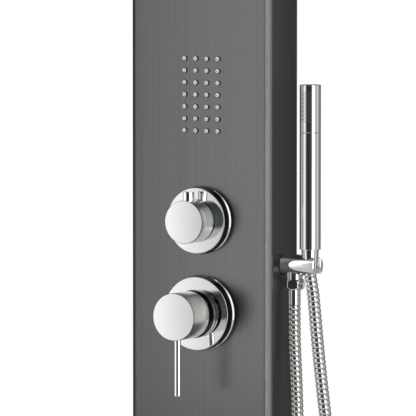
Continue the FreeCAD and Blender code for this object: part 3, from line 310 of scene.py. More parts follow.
class StudioSetup(PropertyGroup):
    target: FloatVectorProperty(
        name="Target",
        description="Point at the middle of the picture",
        default=(0.0117, -0.066, 0.1545),
        subtype="TRANSLATION",
    )
    azimuth: FloatProperty(
        name="Azimuth",
        description="Camera to the right of the panel's front",
        default=math.radians(30),
        subtype="ANGLE",
    )
    elevation: FloatProperty(
        name="Elevation",
        description="Camera above the horizon",
        default=math.radians(4.2),
        subtype="ANGLE",
    )
    distance: FloatProperty(name="Distance", description="Camera to target", default=6.254, unit="LENGTH")
    lens: FloatProperty(name="Lens", description="Focal length in millimetres", default=458.7)
    floor_drop: FloatProperty(
        name="Floor",
        description="Floor below the object's lowest point",
        default=0.05,
        unit="LENGTH",
    )


def setting(group):
    """The scene's settings of one group."""
    return getattr(bpy.context.scene, group)


# Materials


def linear(hex_colour):
    """An sRGB hex colour as linear RGBA."""
    parts = [int(hex_colour[i : i + 2], 16) / 255 for i in (1, 3, 5)]
    return [c / 12.92 if c <= 0.04045 else ((c + 0.055) / 1.055) ** 2.4 for c in parts] + [1.0]


def feed(tree, node, inputs):
    """Fills a node's inputs, by their names or numbers: a socket is linked, any other value is set."""
    for name, value in inputs.items():
        if isinstance(value, NodeSocket):
            tree.links.new(value, node.inputs[name])
        else:
            node.inputs[name].default_value = value


def add_node(tree, kind, inputs=None, stops=(), **settings):
    """Adds a node: its settings, its inputs and, on a colour ramp, its stops of a position and a colour."""
    node = tree.nodes.new(kind)
    for name, value in settings.items():
        setattr(node, name, value)
    feed(tree, node, inputs or {})
    if stops:
        elements = node.color_ramp.elements
        while len(elements) < len(stops):
            elements.new(0.5)
        for element, (position, colour) in zip(elements, stops):
            element.position = position
            element.color = [*colour[:3], 1.0]
    return node


def opened(material):
    """A material's tree and its shader."""
    return material.node_tree, material.node_tree.nodes["Principled BSDF"]


def new_material(name, principled):
    """A material with one Principled shader, its plain sockets set. Returns material, tree and shader."""
    material = bpy.data.materials.new(name)
    material.use_nodes = True
    tree, shader = opened(material)
    feed(tree, shader, principled)
    return material, tree, shader


def tones(colour, amount):
    """A ramp's two stops, from a little darker than a colour to a little lighter."""
    shares = enumerate((1 - amount, 1 + amount))
    return [(at, [min(1.0, c * share) for c in linear(colour)]) for at, share in shares]


def brushed_steel():
    """Coated stainless sheet, brushed from top to bottom: long upright hairlines, soft sideways gloss."""
    material, tree, shader = new_material("Brushed grey stainless", {"Metallic": 1.0, "Anisotropic": 0.4})
    place = add_node(tree, "ShaderNodeTexCoord").outputs["Object"]
    lines = []
    # Real hairlines are 0.1 to 0.3 mm wide and too fine to show, so coarser ones are drawn: 1.6 and 5 mm.
    for width, length in ((1.6, 420), (5.0, 1400)):
        scale = (1 / (width * MM), 1 / (width * MM), 1 / (length * MM))
        stretch = add_node(tree, "ShaderNodeMapping", {"Vector": place, "Scale": scale}).outputs["Vector"]
        hairs = {"Vector": stretch, "Scale": 1.0, "Detail": 3.0, "Roughness": 0.6}
        lines.append(add_node(tree, NOISE, hairs).outputs["Fac"])
    fine_and_broad = {"Factor": 0.35, "A": lines[0], "B": lines[1]}
    both = add_node(tree, MIX, fine_and_broad, data_type="FLOAT").outputs["Result"]
    tint = add_node(tree, RAMP, {"Fac": both}, tones(setting("finishes").panel, 0.3)).outputs["Color"]
    # Light and shade are painted into the sheet's colour: a highlight over the right fold with a dark band
    # after it, shade over the left fold, and shade down both sides towards the wall.
    spot = add_node(tree, SPLIT, {"Vector": place}).outputs
    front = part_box("front_panel")[0].y
    depth = {"Value": spot["Y"], "From Min": front, "From Max": 0.0}
    behind = add_node(tree, RANGE, depth).outputs["Result"]
    folds = []
    for shades in (LEFT_FOLD_PAINTED_LIGHT, RIGHT_FOLD_PAINTED_LIGHT):
        stops = [(mm / shades[-1][0], [times] * 3) for mm, times in shades]
        folds.append(add_node(tree, RAMP, {"Fac": behind}, stops).outputs["Color"])
    right = add_node(tree, MATH, {0: spot["X"], 1: 0}, operation="GREATER_THAN").outputs[0]
    fold = add_node(tree, MIX, {"Factor": right, "A": folds[0], "B": folds[1]}, data_type="RGBA")
    layers = {"Factor": 1.0, "A": tint, "B": fold.outputs["Result"]}
    tint_and_painted_light = add_node(tree, MIX, layers, data_type="RGBA", blend_type="MULTIPLY").outputs["Result"]
    gloss = add_node(tree, RANGE, {"Value": both, "To Min": 0.24, "To Max": 0.34}).outputs["Result"]
    relief = {"Height": lines[0], "Strength": 0.25, "Distance": 0.06 * MM}
    bump = add_node(tree, "ShaderNodeBump", relief).outputs["Normal"]
    feed(tree, shader, {"Base Color": tint_and_painted_light, "Roughness": gloss, "Normal": bump})
    return material


def mottled(name, colour, tone, grain_mm, detail, rough, principled):
    """A material whose colour and gloss vary with a noise. Returns the material and the noise."""
    material, tree, shader = new_material(name, principled)
    place = add_node(tree, "ShaderNodeTexCoord").outputs["Object"]
    marks = {"Vector": place, "Scale": 1 / (grain_mm * MM), "Detail": detail, "Roughness": 0.6}
    noise = add_node(tree, NOISE, marks).outputs["Fac"]
    tint = add_node(tree, RAMP, {"Fac": noise}, tones(colour, tone)).outputs["Color"]
    least, most = rough
    gloss = add_node(tree, RANGE, {"Value": noise, "To Min": least, "To Max": most}).outputs["Result"]
    feed(tree, shader, {"Base Color": tint, "Roughness": gloss})
    return material, noise


def plated(name, rough):
    """Chrome plating: a mirror with faint wipe marks, about 9 mm wide."""
    return mottled(name, setting("finishes").chrome, 0.02, 9, 5.0, rough, {"Metallic": 1.0})[0]


def turned_chrome(name, side_rough, shades):
    """Plated turned piece: its face is a mirror with faint wipe marks, its side keeps the marks of turning.

    Shade is painted into the plating where the shades say: how far the surface faces front, times.
    """
    material = plated(name, (0.04, 0.07))
    tree, shader = opened(material)
    bright, polished = (shader.inputs[socket].links[0].from_socket for socket in ("Base Color", "Roughness"))
    way = add_node(tree, "ShaderNodeTexCoord").outputs["Normal"]
    along = add_node(tree, SPLIT, {"Vector": way}).outputs["Y"]
    ahead = add_node(tree, MATH, {0: along}, operation="ABSOLUTE").outputs[0]
    face = add_node(tree, RANGE, {"Value": ahead, "From Min": 0.8, "From Max": 0.98}).outputs["Result"]
    gloss = add_node(tree, MIX, {"Factor": face, "A": side_rough, "B": polished}, data_type="FLOAT")
    shade = add_node(tree, RAMP, {"Fac": ahead}, [(share, [times] * 3) for share, times in shades])
    layers = {"Factor": 1.0, "A": bright, "B": shade.outputs["Color"]}
    tint_and_painted_light = add_node(tree, MIX, layers, data_type="RGBA", blend_type="MULTIPLY")
    feed(tree, shader, {"Base Color": tint_and_painted_light.outputs["Result"], "Roughness": gloss.outputs["Result"]})


def wound_strip():
    """Plated strip wound into a hose: bright rounded turns, with shade painted into the groove between."""
    material, tree, shader = new_material("Wound plated strip", {"Metallic": 1.0})
    crest = add_node(tree, "ShaderNodeAttribute", attribute_name="crest").outputs["Fac"]
    # The groove's dark grey is painted shade.
    painted_shade, plating = linear("#2a2a2a"), linear(setting("finishes").hose)
    tint = add_node(tree, RAMP, {"Fac": crest}, [(0.08, painted_shade), (0.36, plating)]).outputs["Color"]
    gloss = add_node(tree, RANGE, {"Value": crest, "To Min": 0.35, "To Max": 0.15}).outputs["Result"]
    feed(tree, shader, {"Base Color": tint, "Roughness": gloss})
    return material


def grained(name, colour, tone, grain_mm, rough, depth_mm, **principled):
    """Cast, plated or moulded surface: a fine grain in colour, gloss and height."""
    material, grain = mottled(name, colour, tone, grain_mm, 4.0, rough, principled)
    tree, shader = opened(material)
    relief = {"Height": grain, "Strength": 0.5, "Distance": depth_mm * MM}
    bump = add_node(tree, "ShaderNodeBump", relief).outputs["Normal"]
    feed(tree, shader, {"Normal": bump})
    return material


def soft_silicone():
    """Pale soft rubber, matte, with shade painted down the nipples' sides and on the mat, their ends left
    pale.
    """
    colour = setting("finishes").silicone
    material = grained("Soft silicone", colour, 0.05, 1.5, (0.42, 0.55), 0.02, IOR=1.41)
    tree, shader = opened(material)
    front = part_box("nozzle_mat")[0].y
    place = add_node(tree, "ShaderNodeTexCoord").outputs["Object"]
    depth = add_node(tree, SPLIT, {"Vector": place}).outputs["Y"]
    # Shade is painted down the nipples' sides: dark by the mat, pale only at their ends.
    ends = {"Value": depth, "From Min": front + 0.8 * MM, "From Max": front + 0.15 * MM}
    painted_shade_mask = add_node(tree, RANGE, ends).outputs["Result"]
    painted_shade, pale = linear("#34342f"), shader.inputs["Base Color"].links[0].from_socket
    layers = {"Factor": painted_shade_mask, "A": painted_shade, "B": pale}
    feed(tree, shader, {"Base Color": add_node(tree, MIX, layers, data_type="RGBA").outputs["Result"]})
    return material


def make_materials():
    """Every finish of the object, by the record's slot."""
    look = setting("finishes")
    satin, smooth = 0.22, 0.06
    # These three platings carry painted shade: a dark edge line on knob and cap, a dark face and slope on
    # the ring, dark flanks on the plates.
    turned_chrome(TURNED, satin, KNOB_PAINTED_SHADE)
    turned_chrome(SHADED, satin, RING_PAINTED_SHADE)
    turned_chrome(SPUN, smooth, PLATE_PAINTED_SHADE)
    # Grained finishes: how much their tone varies, the grain in mm, least and most rough, depth in mm. The
    # spray openings are small moulded tips, dark and matte.
    grained("Spray openings", look.nozzle, 0.1, 0.5, (0.5, 0.6), 0.01)
    return {
        "brushed_panel": brushed_steel(),
        "chrome": plated(POLISHED, (0.02, 0.05)),
        "hose_metal": wound_strip(),
        "silicone": soft_silicone(),
        # Casting sand leaves brass dull and coarse; drawing leaves copper smoother, with broad faint spots.
        "brass": grained("Cast brass", look.brass, 0.12, 2.0, (0.30, 0.45), 0.05, Metallic=1.0),
        "copper": grained("Drawn copper pipe", look.copper, 0.10, 4.0, (0.22, 0.34), 0.01, Metallic=1.0),
        # Zinc is pale and cloudy, and acetal and rubber keep the fine grain of their moulds.
        "zinc_steel": grained("Zinc plated steel", look.zinc, 0.10, 3.0, (0.32, 0.48), 0.01, Metallic=1.0),
        "inner_plastic": grained("Moulded acetal", look.moulding, 0.03, 1.2, (0.38, 0.48), 0.01, IOR=1.48),
        "black_rubber": grained("Moulded rubber", look.rubber, 0.15, 0.8, (0.62, 0.75), 0.02, IOR=1.52),
    }


# Mesh helpers


def smoothed(mesh, angle):
    """Shades a mesh smooth up to an angle in degrees."""
    mesh.polygons.foreach_set("use_smooth", [True] * len(mesh.polygons))
    mesh.set_sharp_from_angle(angle=math.radians(angle))


def placed(name, data):
    """A new object at the origin of the scene."""
    thing = bpy.data.objects.new(name, data)
    bpy.context.scene.collection.objects.link(thing)
    return thing


def finished(name, mesh, finish, smooth_angle):
    """A mesh as a scene object with one finish, smooth up to an angle."""
    mesh.materials.clear()
    mesh.materials.append(bpy.data.materials[finish])
    smoothed(mesh, smooth_angle)
    return placed(name, mesh)


def rounded(profile, radius):
    """A closed profile with each sharp corner off the axis replaced by a small arc."""
    steps, most_of_side, past_arc, blunt = 5, 0.35, 1.3, math.radians(165)
    out = []
    for i, spot in enumerate(profile):
        corner = Vector(spot)
        before = Vector(profile[i - 1]) - corner
        after = Vector(profile[(i + 1) % len(profile)]) - corner
        if corner.x == 0 or before.angle(after) > blunt:
            out.append(corner)
            continue
        reach = min(radius, before.length * most_of_side, after.length * most_of_side)
        start = before.normalized() * reach
        end = after.normalized() * reach
        # A ring just before and after the arc keeps the flat faces' reflections flat.
        out.append(corner + start * past_arc)
        for step in range(steps + 1):
            t = step / steps
            out.append(corner + start * (1 - t) ** 2 + end * t**2)
        out.append(corner + end * past_arc)
    return out


def written(shape, mesh):
    """Writes a bmesh shape into a mesh and frees it."""
    shape.to_mesh(mesh)
    shape.free()
    return mesh


def skinned(shape, rings, name):
    """A closed mesh over a shape's rings of points; a ring of one point is a pole."""
    count = max(len(ring) for ring in rings)
    for first, second in zip(rings, rings[1:] + rings[:1]):
        if len(first) == 1 and len(second) == 1:
            continue
        for i in range(count):
            j = (i + 1) % count
            corners = [first[i % len(first)], first[j % len(first)]]
            corners += [second[j % len(second)], second[i % len(second)]]
            shape.faces.new(list(dict.fromkeys(corners)))
    bmesh.ops.recalc_face_normals(shape, faces=shape.faces)
    return written(shape, bpy.data.meshes.new(name))


FACING = {
    "up": Matrix.Identity(3),
    "down": Matrix.Rotation(math.pi, 3, "X"),
    "front": Matrix.Rotation(math.pi / 2, 3, "X"),
}


def lathe(profile, at, facing, segments=96):
    """A mesh turned from a closed profile of (radius, along) pairs in metres."""
    shape = bmesh.new()
    rings = []
    for r, along in profile:
        ring = []
        for i in range(1 if r < 1e-9 else segments):
            angle = 2 * math.pi * i / segments
            local = Vector((r * math.cos(angle), r * math.sin(angle), along))
            ring.append(shape.verts.new(FACING[facing] @ local + Vector(at)))
        rings.append(ring)
    return skinned(shape, rings, "turned")


def measured(node, facing):
    """Where a turned node's axis starts, its radius and its length, all in millimetres."""
    low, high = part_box(node)
    middle = (low + high) / 2
    foot = {
        "up": (middle.x, middle.y, low.z),
        "down": (middle.x, middle.y, high.z),
        "front": (middle.x, high.y, middle.z),
    }[facing]
    length = high.y - low.y if facing == "front" else high.z - low.z
    return [c / MM for c in foot], (high.x - low.x) / 2 / MM, length / MM


def turned_piece(name, profile, round_mm, foot, facing, finish):
    """A turned piece from its profile and the place of its foot, both in millimetres."""
    points = rounded([(r * MM, along * MM) for r, along in profile], round_mm * MM)
    return finished(name, lathe(points, [c * MM for c in foot], facing), finish, smooth_angle=40)


def turned(nodes, shape, facing, round_mm, finish, body):
    """A turned piece for CAD nodes: shape gives its profile from the first node's radius and length."""
    foot, radius, length = measured(nodes[0], facing)
    piece = turned_piece(f"{nodes[0]}_turned", shape(radius, length), round_mm, foot, facing, finish)
    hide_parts(*nodes)
    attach(piece, body)


def crowned(radius, height, rise):
    """A slightly crowned face's points, from its edge to its middle."""
    return [(radius * s, height - rise * s * s) for s in (1, 0.8, 0.6, 0.4, 0.2, 0)]


def bake(piece):
    """Turns a piece's modifiers into its plain mesh."""
    evaluated = piece.evaluated_get(bpy.context.evaluated_depsgraph_get())
    mesh = bpy.data.meshes.new_from_object(evaluated)
    piece.modifiers.clear()
    old = piece.data
    piece.data = mesh
    bpy.data.meshes.remove(old)
    return mesh


def new_tree(name, inputs):
    """A Geometry Nodes tree with named inputs. Returns the tree, its inputs' sockets and its output node."""
    tree = bpy.data.node_groups.new(name, "GeometryNodeTree")
    for label, kind in inputs.items():
        tree.interface.new_socket(label, in_out="INPUT", socket_type=f"NodeSocket{kind}")
    tree.interface.new_socket("Geometry", in_out="OUTPUT", socket_type="NodeSocketGeometry")
    return tree, add_node(tree, "NodeGroupInput").outputs, add_node(tree, "NodeGroupOutput")


def end_tree(tree, geometry, given, out):
    """Ends a tree: instances made real, the finish put on."""
    whole = add_node(tree, "GeometryNodeRealizeInstances", {"Geometry": geometry}).outputs["Geometry"]
    coated = add_node(tree, "GeometryNodeSetMaterial", {"Geometry": whole, "Material": given["Finish"]})
    feed(tree, out, {"Geometry": coated.outputs["Geometry"]})


def grown(name, tree, smooth_angle, **inputs):
    """A new object whose mesh a Geometry Nodes tree makes from the given inputs."""
    piece = placed(name, bpy.data.meshes.new(name))
    modifier = piece.modifiers.new(name, "NODES")
    modifier.node_group = tree
    names = {item.name: item.identifier for item in tree.interface.items_tree if item.in_out == "INPUT"}
    for label, value in inputs.items():
        modifier[names[label.replace("_", " ")]] = value
    mesh = bake(piece)
    bpy.data.node_groups.remove(tree)
    smoothed(mesh, smooth_angle)
    return piece


# Finishes


class SHOWER_OT_finishes(Operator):
    """Makes the finishes and puts them on the CAD pieces"""

    bl_idname = "shower.finishes"
    bl_label = "Finishes"

    def execute(self, context):
        made = make_materials()
        for part in frame["record"]["subparts"]:
            thing = NODES[part["node"]]
            thing.data.materials.clear()
            thing.data.materials.append(made[part["material_slot"]])
        return {"FINISHED"}


# Hose


def hose_tree():
    """Winds a grooved strip round a curve: the groove runs round the tube as a screw thread does."""
    inputs = {
        "Route": "Object",
        "Radius": "Float",
        "Groove": "Float",
        "Pitch": "Float",
        "Sides": "Int",
        "Finish": "Material",
    }
    tree, given, out = new_tree("Wound hose", inputs)
    points_per_turn = 8
    route = add_node(tree, "GeometryNodeObjectInfo", {"Object": given["Route"]}).outputs["Geometry"]
    step = add_node(tree, MATH, {0: given["Pitch"], 1: points_per_turn}, operation="DIVIDE").outputs[0]
    rail = add_node(tree, "GeometryNodeResampleCurve", {"Curve": route, "Length": step}, mode="LENGTH")
    length = add_node(tree, "GeometryNodeSplineParameter").outputs["Length"]
    line = add_node(tree, STORE, {"Name": "along", "Geometry": rail.outputs["Curve"], "Value": length})
    ring = {"Radius": 1.0, "Resolution": given["Sides"]}
    circle = add_node(tree, "GeometryNodeCurvePrimitiveCircle", ring).outputs["Curve"]
    share = add_node(tree, "GeometryNodeSplineParameter").outputs["Factor"]
    section = add_node(tree, STORE, {"Name": "around", "Geometry": circle, "Value": share})
    sweep = {
        "Curve": line.outputs["Geometry"],
        "Profile Curve": section.outputs["Geometry"],
        "Scale": given["Radius"],
        "Fill Caps": True,
    }
    tube = add_node(tree, "GeometryNodeCurveToMesh", sweep).outputs["Mesh"]
    along = add_node(tree, ATTRIBUTE, {"Name": "along"}).outputs["Attribute"]
    around = add_node(tree, ATTRIBUTE, {"Name": "around"}).outputs["Attribute"]
    straight = add_node(tree, MATH, {0: along, 1: given["Pitch"]}, operation="DIVIDE").outputs[0]
    turns = add_node(tree, MATH, {0: straight, 1: around}, operation="ADD").outputs[0]
    phase = add_node(tree, MATH, {0: turns, 1: math.pi}, operation="MULTIPLY").outputs[0]
    wave = add_node(tree, MATH, {0: phase}, operation="SINE").outputs[0]
    crest = add_node(tree, MATH, {0: wave}, operation="ABSOLUTE").outputs[0]
    round_crest = add_node(tree, MATH, {0: crest}, operation="SQRT").outputs[0]
    dip = add_node(tree, MATH, {0: round_crest, 1: 1}, operation="SUBTRACT").outputs[0]
    sink = add_node(tree, MATH, {0: dip, 1: given["Groove"]}, operation="MULTIPLY").outputs[0]
    normal = add_node(tree, "GeometryNodeInputNormal").outputs["Normal"]
    inwards = add_node(tree, "ShaderNodeVectorMath", {0: normal, "Scale": sink}, operation="SCALE")
    moved = {"Geometry": tube, "Offset": inwards.outputs["Vector"]}
    wound = add_node(tree, "GeometryNodeSetPosition", moved).outputs["Geometry"]
    marked = add_node(tree, STORE, {"Name": "crest", "Geometry": wound, "Value": crest})
    end_tree(tree, marked.outputs["Geometry"], given, out)
    return tree


def hexagon_nut(node, turn, finish, body):
    """A six-sided nut in place of a CAD node, with its corners turned off at both ends."""
    low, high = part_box(node)
    middle = (low + high) / 2
    height = high.z - low.z
    flat = min(high.x - low.x, high.y - low.y) / 2
    corner = flat / math.cos(math.pi / 6)
    bore, end, slope = flat * 0.86, flat * 0.96, 0.75
    count, steps = 144, 6
    rise = (corner - end) / slope
    levels = [rise * s / steps for s in range(steps + 1)]
    levels += [height - level for level in reversed(levels)]
    shape = bmesh.new()
    rings = []
    for z in [levels[0], *levels, levels[-1]]:
        inner = len(rings) in (0, len(levels) + 1)
        cone = end + min(z, height - z) * slope
        ring = []
        for i in range(count):
            angle = 2 * math.pi * i / count
            off_flat = (angle - turn + math.pi / 6) % (math.pi / 3) - math.pi / 6
            r = bore if inner else min(flat / math.cos(off_flat), cone)
            spot = Vector((r * math.sin(angle), -r * math.cos(angle), low.z + z))
            ring.append(shape.verts.new(spot + Vector((middle.x, middle.y, 0))))
        rings.append(ring)
    mesh = skinned(shape, rings, f"{node}_cut")
    piece = finished(f"{node}_cut", mesh, finish, smooth_angle=24)
    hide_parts(node)
    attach(piece, body)
    return piece


class SHOWER_OT_hose(Operator):
    """Makes the ribbed hose along its hanging route, and its union nut"""

    bl_idname = "shower.hose"
    bl_label = "Hose"

    def execute(self, context):
        sizes = setting("hose_sizes")
        curve = bpy.data.curves.new("hose_route", "CURVE")
        curve.dimensions = "3D"
        curve.resolution_u = 16
        spline = curve.splines.new("NURBS")
        spline.points.add(len(HOSE_ROUTE) - 1)
        for point, (x, z) in zip(spline.points, HOSE_ROUTE):
            point.co = (x, HOLDER_Y, z, 1.0)
        spline.order_u = 3
        spline.use_endpoint_u = True
        route = placed("hose_route", curve)
        line = bpy.data.meshes.new_from_object(route)
        hose = grown(
            "hose_wound",
            hose_tree(),
            180,
            Route=route,
            Radius=sizes.diameter / 2,
            Groove=sizes.groove,
            Pitch=sizes.pitch,
            Sides=sizes.sides,
            Finish=bpy.data.materials["Wound plated strip"],
        )
        bpy.data.objects.remove(route)
        bpy.data.meshes.remove(line)
        nut = hexagon_nut("hose_union_nut", sizes.nut_turn, POLISHED, "panel")
        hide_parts("shower_hose")
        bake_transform(hose)
        return {"FINISHED"}


# Body jets and spray holes


def upright_grid(tree, columns, rows, given):
    """A flat grid of points at the tree's pitches, across in X and up in Y."""
    spans = []
    for pitch, count in (("Pitch X", columns), ("Pitch Z", rows)):
        gaps = add_node(tree, MATH, {0: count, 1: 1}, operation="SUBTRACT").outputs[0]
        spans.append(add_node(tree, MATH, {0: gaps, 1: given[pitch]}, operation="MULTIPLY").outputs[0])
    grid = {"Size X": spans[0], "Size Y": spans[1], "Vertices X": columns, "Vertices Y": rows}
    return add_node(tree, "GeometryNodeMeshGrid", grid).outputs["Mesh"]


def grid_tree():
    """Sets one small shape at every point of an upright grid, in front of a flat mat."""
    inputs = {
        "Shape": "Object",
        "Columns": "Int",
        "Rows": "Int",
        "Pitch X": "Float",
        "Pitch Z": "Float",
        "Centre": "Vector",
        "Mat": "Vector",
        "Mat centre": "Vector",
        "Finish": "Material",
    }
    tree, given, out = new_tree("Jet grid", inputs)
    grid = upright_grid(tree, given["Columns"], given["Rows"], given)
    raised = {"Geometry": grid, "Rotation": (math.pi / 2, 0, 0), "Translation": given["Centre"]}
    points = add_node(tree, "GeometryNodeTransform", raised).outputs["Geometry"]
    shape = add_node(tree, "GeometryNodeObjectInfo", {"Object": given["Shape"]}).outputs["Geometry"]
    copies = add_node(tree, "GeometryNodeInstanceOnPoints", {"Points": points, "Instance": shape})
    block = add_node(tree, "GeometryNodeMeshCube", {"Size": given["Mat"]}).outputs["Mesh"]
    mat = add_node(tree, "GeometryNodeTransform", {"Geometry": block, "Translation": given["Mat centre"]})
    whole = add_node(tree, "GeometryNodeJoinGeometry")
    for piece in (copies.outputs["Instances"], mat.outputs["Geometry"]):
        feed(tree, whole, {"Geometry": piece})
    end_tree(tree, whole.outputs["Geometry"], given, out)
    return tree


def spray_tree():
    """Wraps two staggered grids of small shapes round the front of a cylinder."""
    inputs = {
        "Shape": "Object",
        "Columns": "Int",
        "Rows": "Int",
        "Pitch X": "Float",
        "Pitch Z": "Float",
        "Radius": "Float",
        "Centre": "Vector",
        "Finish": "Material",
    }
    tree, given, out = new_tree("Spray holes", inputs)
    full = [given["Columns"], given["Rows"]]
    fewer = [add_node(tree, MATH, {0: count, 1: 1}, operation="SUBTRACT").outputs[0] for count in full]
    grids = add_node(tree, "GeometryNodeJoinGeometry")
    for across, down in (full, fewer):
        feed(tree, grids, {"Geometry": upright_grid(tree, across, down, given)})
    position = add_node(tree, "GeometryNodeInputPosition").outputs["Position"]
    flat = add_node(tree, SPLIT, {"Vector": position}).outputs
    radius = given["Radius"]
    angle = add_node(tree, MATH, {0: flat["X"], 1: radius}, operation="DIVIDE").outputs[0]
    kept = add_node(tree, STORE, {"Name": "turn", "Geometry": grids.outputs["Geometry"], "Value": angle})
    sine = add_node(tree, MATH, {0: angle}, operation="SINE").outputs[0]
    cosine = add_node(tree, MATH, {0: angle}, operation="COSINE").outputs[0]
    sideways = add_node(tree, MATH, {0: sine, 1: radius}, operation="MULTIPLY").outputs[0]
    reach = add_node(tree, MATH, {0: cosine, 1: radius}, operation="MULTIPLY").outputs[0]
    forward = add_node(tree, MATH, {0: reach, 1: -1}, operation="MULTIPLY").outputs[0]
    curved = add_node(tree, "ShaderNodeCombineXYZ", {"X": sideways, "Y": forward, "Z": flat["Y"]})
    wrap = {
        "Geometry": kept.outputs["Geometry"],
        "Position": curved.outputs["Vector"],
        "Offset": given["Centre"],
    }
    wrapped = add_node(tree, "GeometryNodeSetPosition", wrap).outputs["Geometry"]
    turn = add_node(tree, ATTRIBUTE, {"Name": "turn"}).outputs["Attribute"]
    about = add_node(tree, "ShaderNodeCombineXYZ", {"Z": turn}).outputs["Vector"]
    shape = add_node(tree, "GeometryNodeObjectInfo", {"Object": given["Shape"]}).outputs["Geometry"]
    dots = {"Points": wrapped, "Instance": shape, "Rotation": about}
    copies = add_node(tree, "GeometryNodeInstanceOnPoints", dots).outputs["Instances"]
    end_tree(tree, copies, given, out)
    return tree


class SHOWER_OT_jets(Operator):
    """Makes the soft nozzles of the body jets"""

    bl_idname = "shower.jets"
    bl_label = "Body jets"

    def execute(self, context):
        sizes = setting("jet_sizes")
        low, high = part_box("nozzle_mat")
        mat = sizes.mat
        depth = high.y - low.y - mat
        middle = (low + high) / 2
        r, bore = sizes.radius, sizes.bore
        bottom, lip, shoulder = depth * 0.4, depth - 0.3 * MM, depth - 0.9 * MM
        profile = [
            (0.0, bottom),
            (bore, bottom),
            (bore, lip),
            (bore * 1.3, depth),
            (r * 0.74, depth),
            (r * 0.92, lip),
            (r, shoulder),
            (r, 0.0),
            (0.0, 0.0),
        ]
        nipple = placed("nipple", lathe(profile, (0, 0, 0), "front", segments=28))
        nozzles = grown(
            "jet_nozzles",
            grid_tree(),
            50,
            Shape=nipple,
            Columns=sizes.columns,
            Rows=sizes.rows,
            Pitch_X=sizes.pitch_x,
            Pitch_Z=sizes.pitch_z,
            Centre=Vector((middle.x, high.y - mat, middle.z)),
            Mat=Vector((high.x - low.x, mat, high.z - low.z)),
            Mat_centre=Vector((middle.x, high.y - mat / 2, middle.z)),
            Finish=bpy.data.materials["Soft silicone"],
        )
        bpy.data.objects.remove(nipple)
        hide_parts("nozzle_mat")
        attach(nozzles, "panel")
        return {"FINISHED"}


class SHOWER_OT_handset(Operator):
    """Makes the hand shower's handle, spray head and spray holes"""

    bl_idname = "shower.handset"
    bl_label = "Hand shower"

    def execute(self, context):
        wall, end_wall = 1.7, 2.5

        def tube(r, length):
            return [(r - wall, 0), (r, 0), (r, length), (r - wall, length)]

        def closed_tube(r, length):
            inside = length - end_wall
            return [(r - wall, 0), (r, 0), (r, length), (0, length), (0, inside), (r - wall, inside)]

        turned(["wand_handle"], tube, "up", 0.5, POLISHED, "handset")
        turned(["wand_head", "spray_insert"], closed_tube, "up", 0.7, POLISHED, "handset")
        sizes = setting("spray_sizes")
        low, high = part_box("wand_head")
        window_low, window_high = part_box("spray_insert")
        middle = (low + high) / 2
        r, proud = sizes.radius, 0.06 * MM
        disc = [(0, -proud), (r, -proud), (r, proud), (0, proud)]
        dot = placed("dot", lathe(disc, (0, 0, 0), "front", segments=12))
        holes = grown(
            "spray_holes",
            spray_tree(),
            30,
            Shape=dot,
            Columns=sizes.columns,
            Rows=sizes.rows,
            Pitch_X=sizes.pitch_x,
            Pitch_Z=sizes.pitch_z,
            Radius=(high.x - low.x) / 2,
            Centre=Vector((middle.x, middle.y, (window_low.z + window_high.z) / 2)),
            Finish=bpy.data.materials["Spray openings"],
        )
        bpy.data.objects.remove(dot)
        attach(holes, "handset")
        return {"FINISHED"}


class SHOWER_OT_valves(Operator):
    """Makes the plates, dome ring, sleeve, knob, cap, peg and lever of the two valves"""

    bl_idname = "shower.valves"
    bl_label = "Valve trim"

    def execute(self, context):
        rim, face, crown, draft, ease = 2.5, 3.0, 1.2, 0.2, 0.3
        foot, foot_edge, foot_top = 1.4, 0.7, 2.6
        for kind, hole in (("diverter", 18.3), ("mixer", 20.8)):

            def plate(r, length):
                wall = [(r - rim, 0), (r + foot, 0), (r + foot, foot_edge), (r, foot_top)]
                front = [spot for spot in crowned(r - draft, length, crown) if spot[0] > hole + 1]
                back = length - face
                return wall + front + [(hole, length - ease), (hole, back), (r - rim, back)]

            turned([f"{kind}_plate"], plate, "front", 0.7, SPUN, "panel")

        eye = 12.6

        def dome_ring(r, length):
            bore, cover, inset, slope_back, slope_in = 21.6, 2.5, 0.5, 1.8, 3.1
            wall, back = r - inset, length - cover
            edge = [(wall, length - slope_back), (wall - slope_in, length)]
            return [(bore, 0), (wall, 0), *edge, (eye, length), (eye, back), (bore, back)]

        turned(["mixer_collar"], dome_ring, "front", 0.5, SHADED, "panel")
        # A dark rubber sleeve on the ring reaches into the cap: it stands in for the shade in the gap under
        # the cap, and covers the brass yoke.
        ring_foot, _, start = measured("mixer_collar", "front")
        outside, end = eye + 1.2, start + 9.5
        tube = [(eye, start), (outside, start), (outside, end), (eye, end)]
        sleeve = turned_piece("mixer_sleeve", tube, 0.3, ring_foot, "front", "Moulded rubber")
        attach(sleeve, "panel")

        def shell(r, length):
            wall, front, crown, ease = 2.5, 4.0, 0.7, 0.3
            inside = length - front
            back = [(r - wall, 0), (r - ease, 0), (r, ease)]
            return [*back, *crowned(r, length, crown), (0, inside), (r - wall, inside)]

        turned(["diverter_knob"], shell, "front", 0.7, TURNED, "diverter_rotor")
        turned(["mixer_cap"], shell, "front", 0.7, TURNED, "mixer_handle")

        def peg(r, length):
            shank, head = 3.0, 12.5
            neck = length - head
            return [(0, 0), (shank, 0), (shank, neck), (r, neck), (r, length), (0, length)]

        turned(["diverter_peg"], peg, "up", 0.7, POLISHED, "diverter_rotor")

        def rod(r, length):
            return [(0, 0), (r, 0), (r, length), (0, length)]

        turned(["mixer_lever"], rod, "down", 0.8, POLISHED, "mixer_handle")
        return {"FINISHED"}


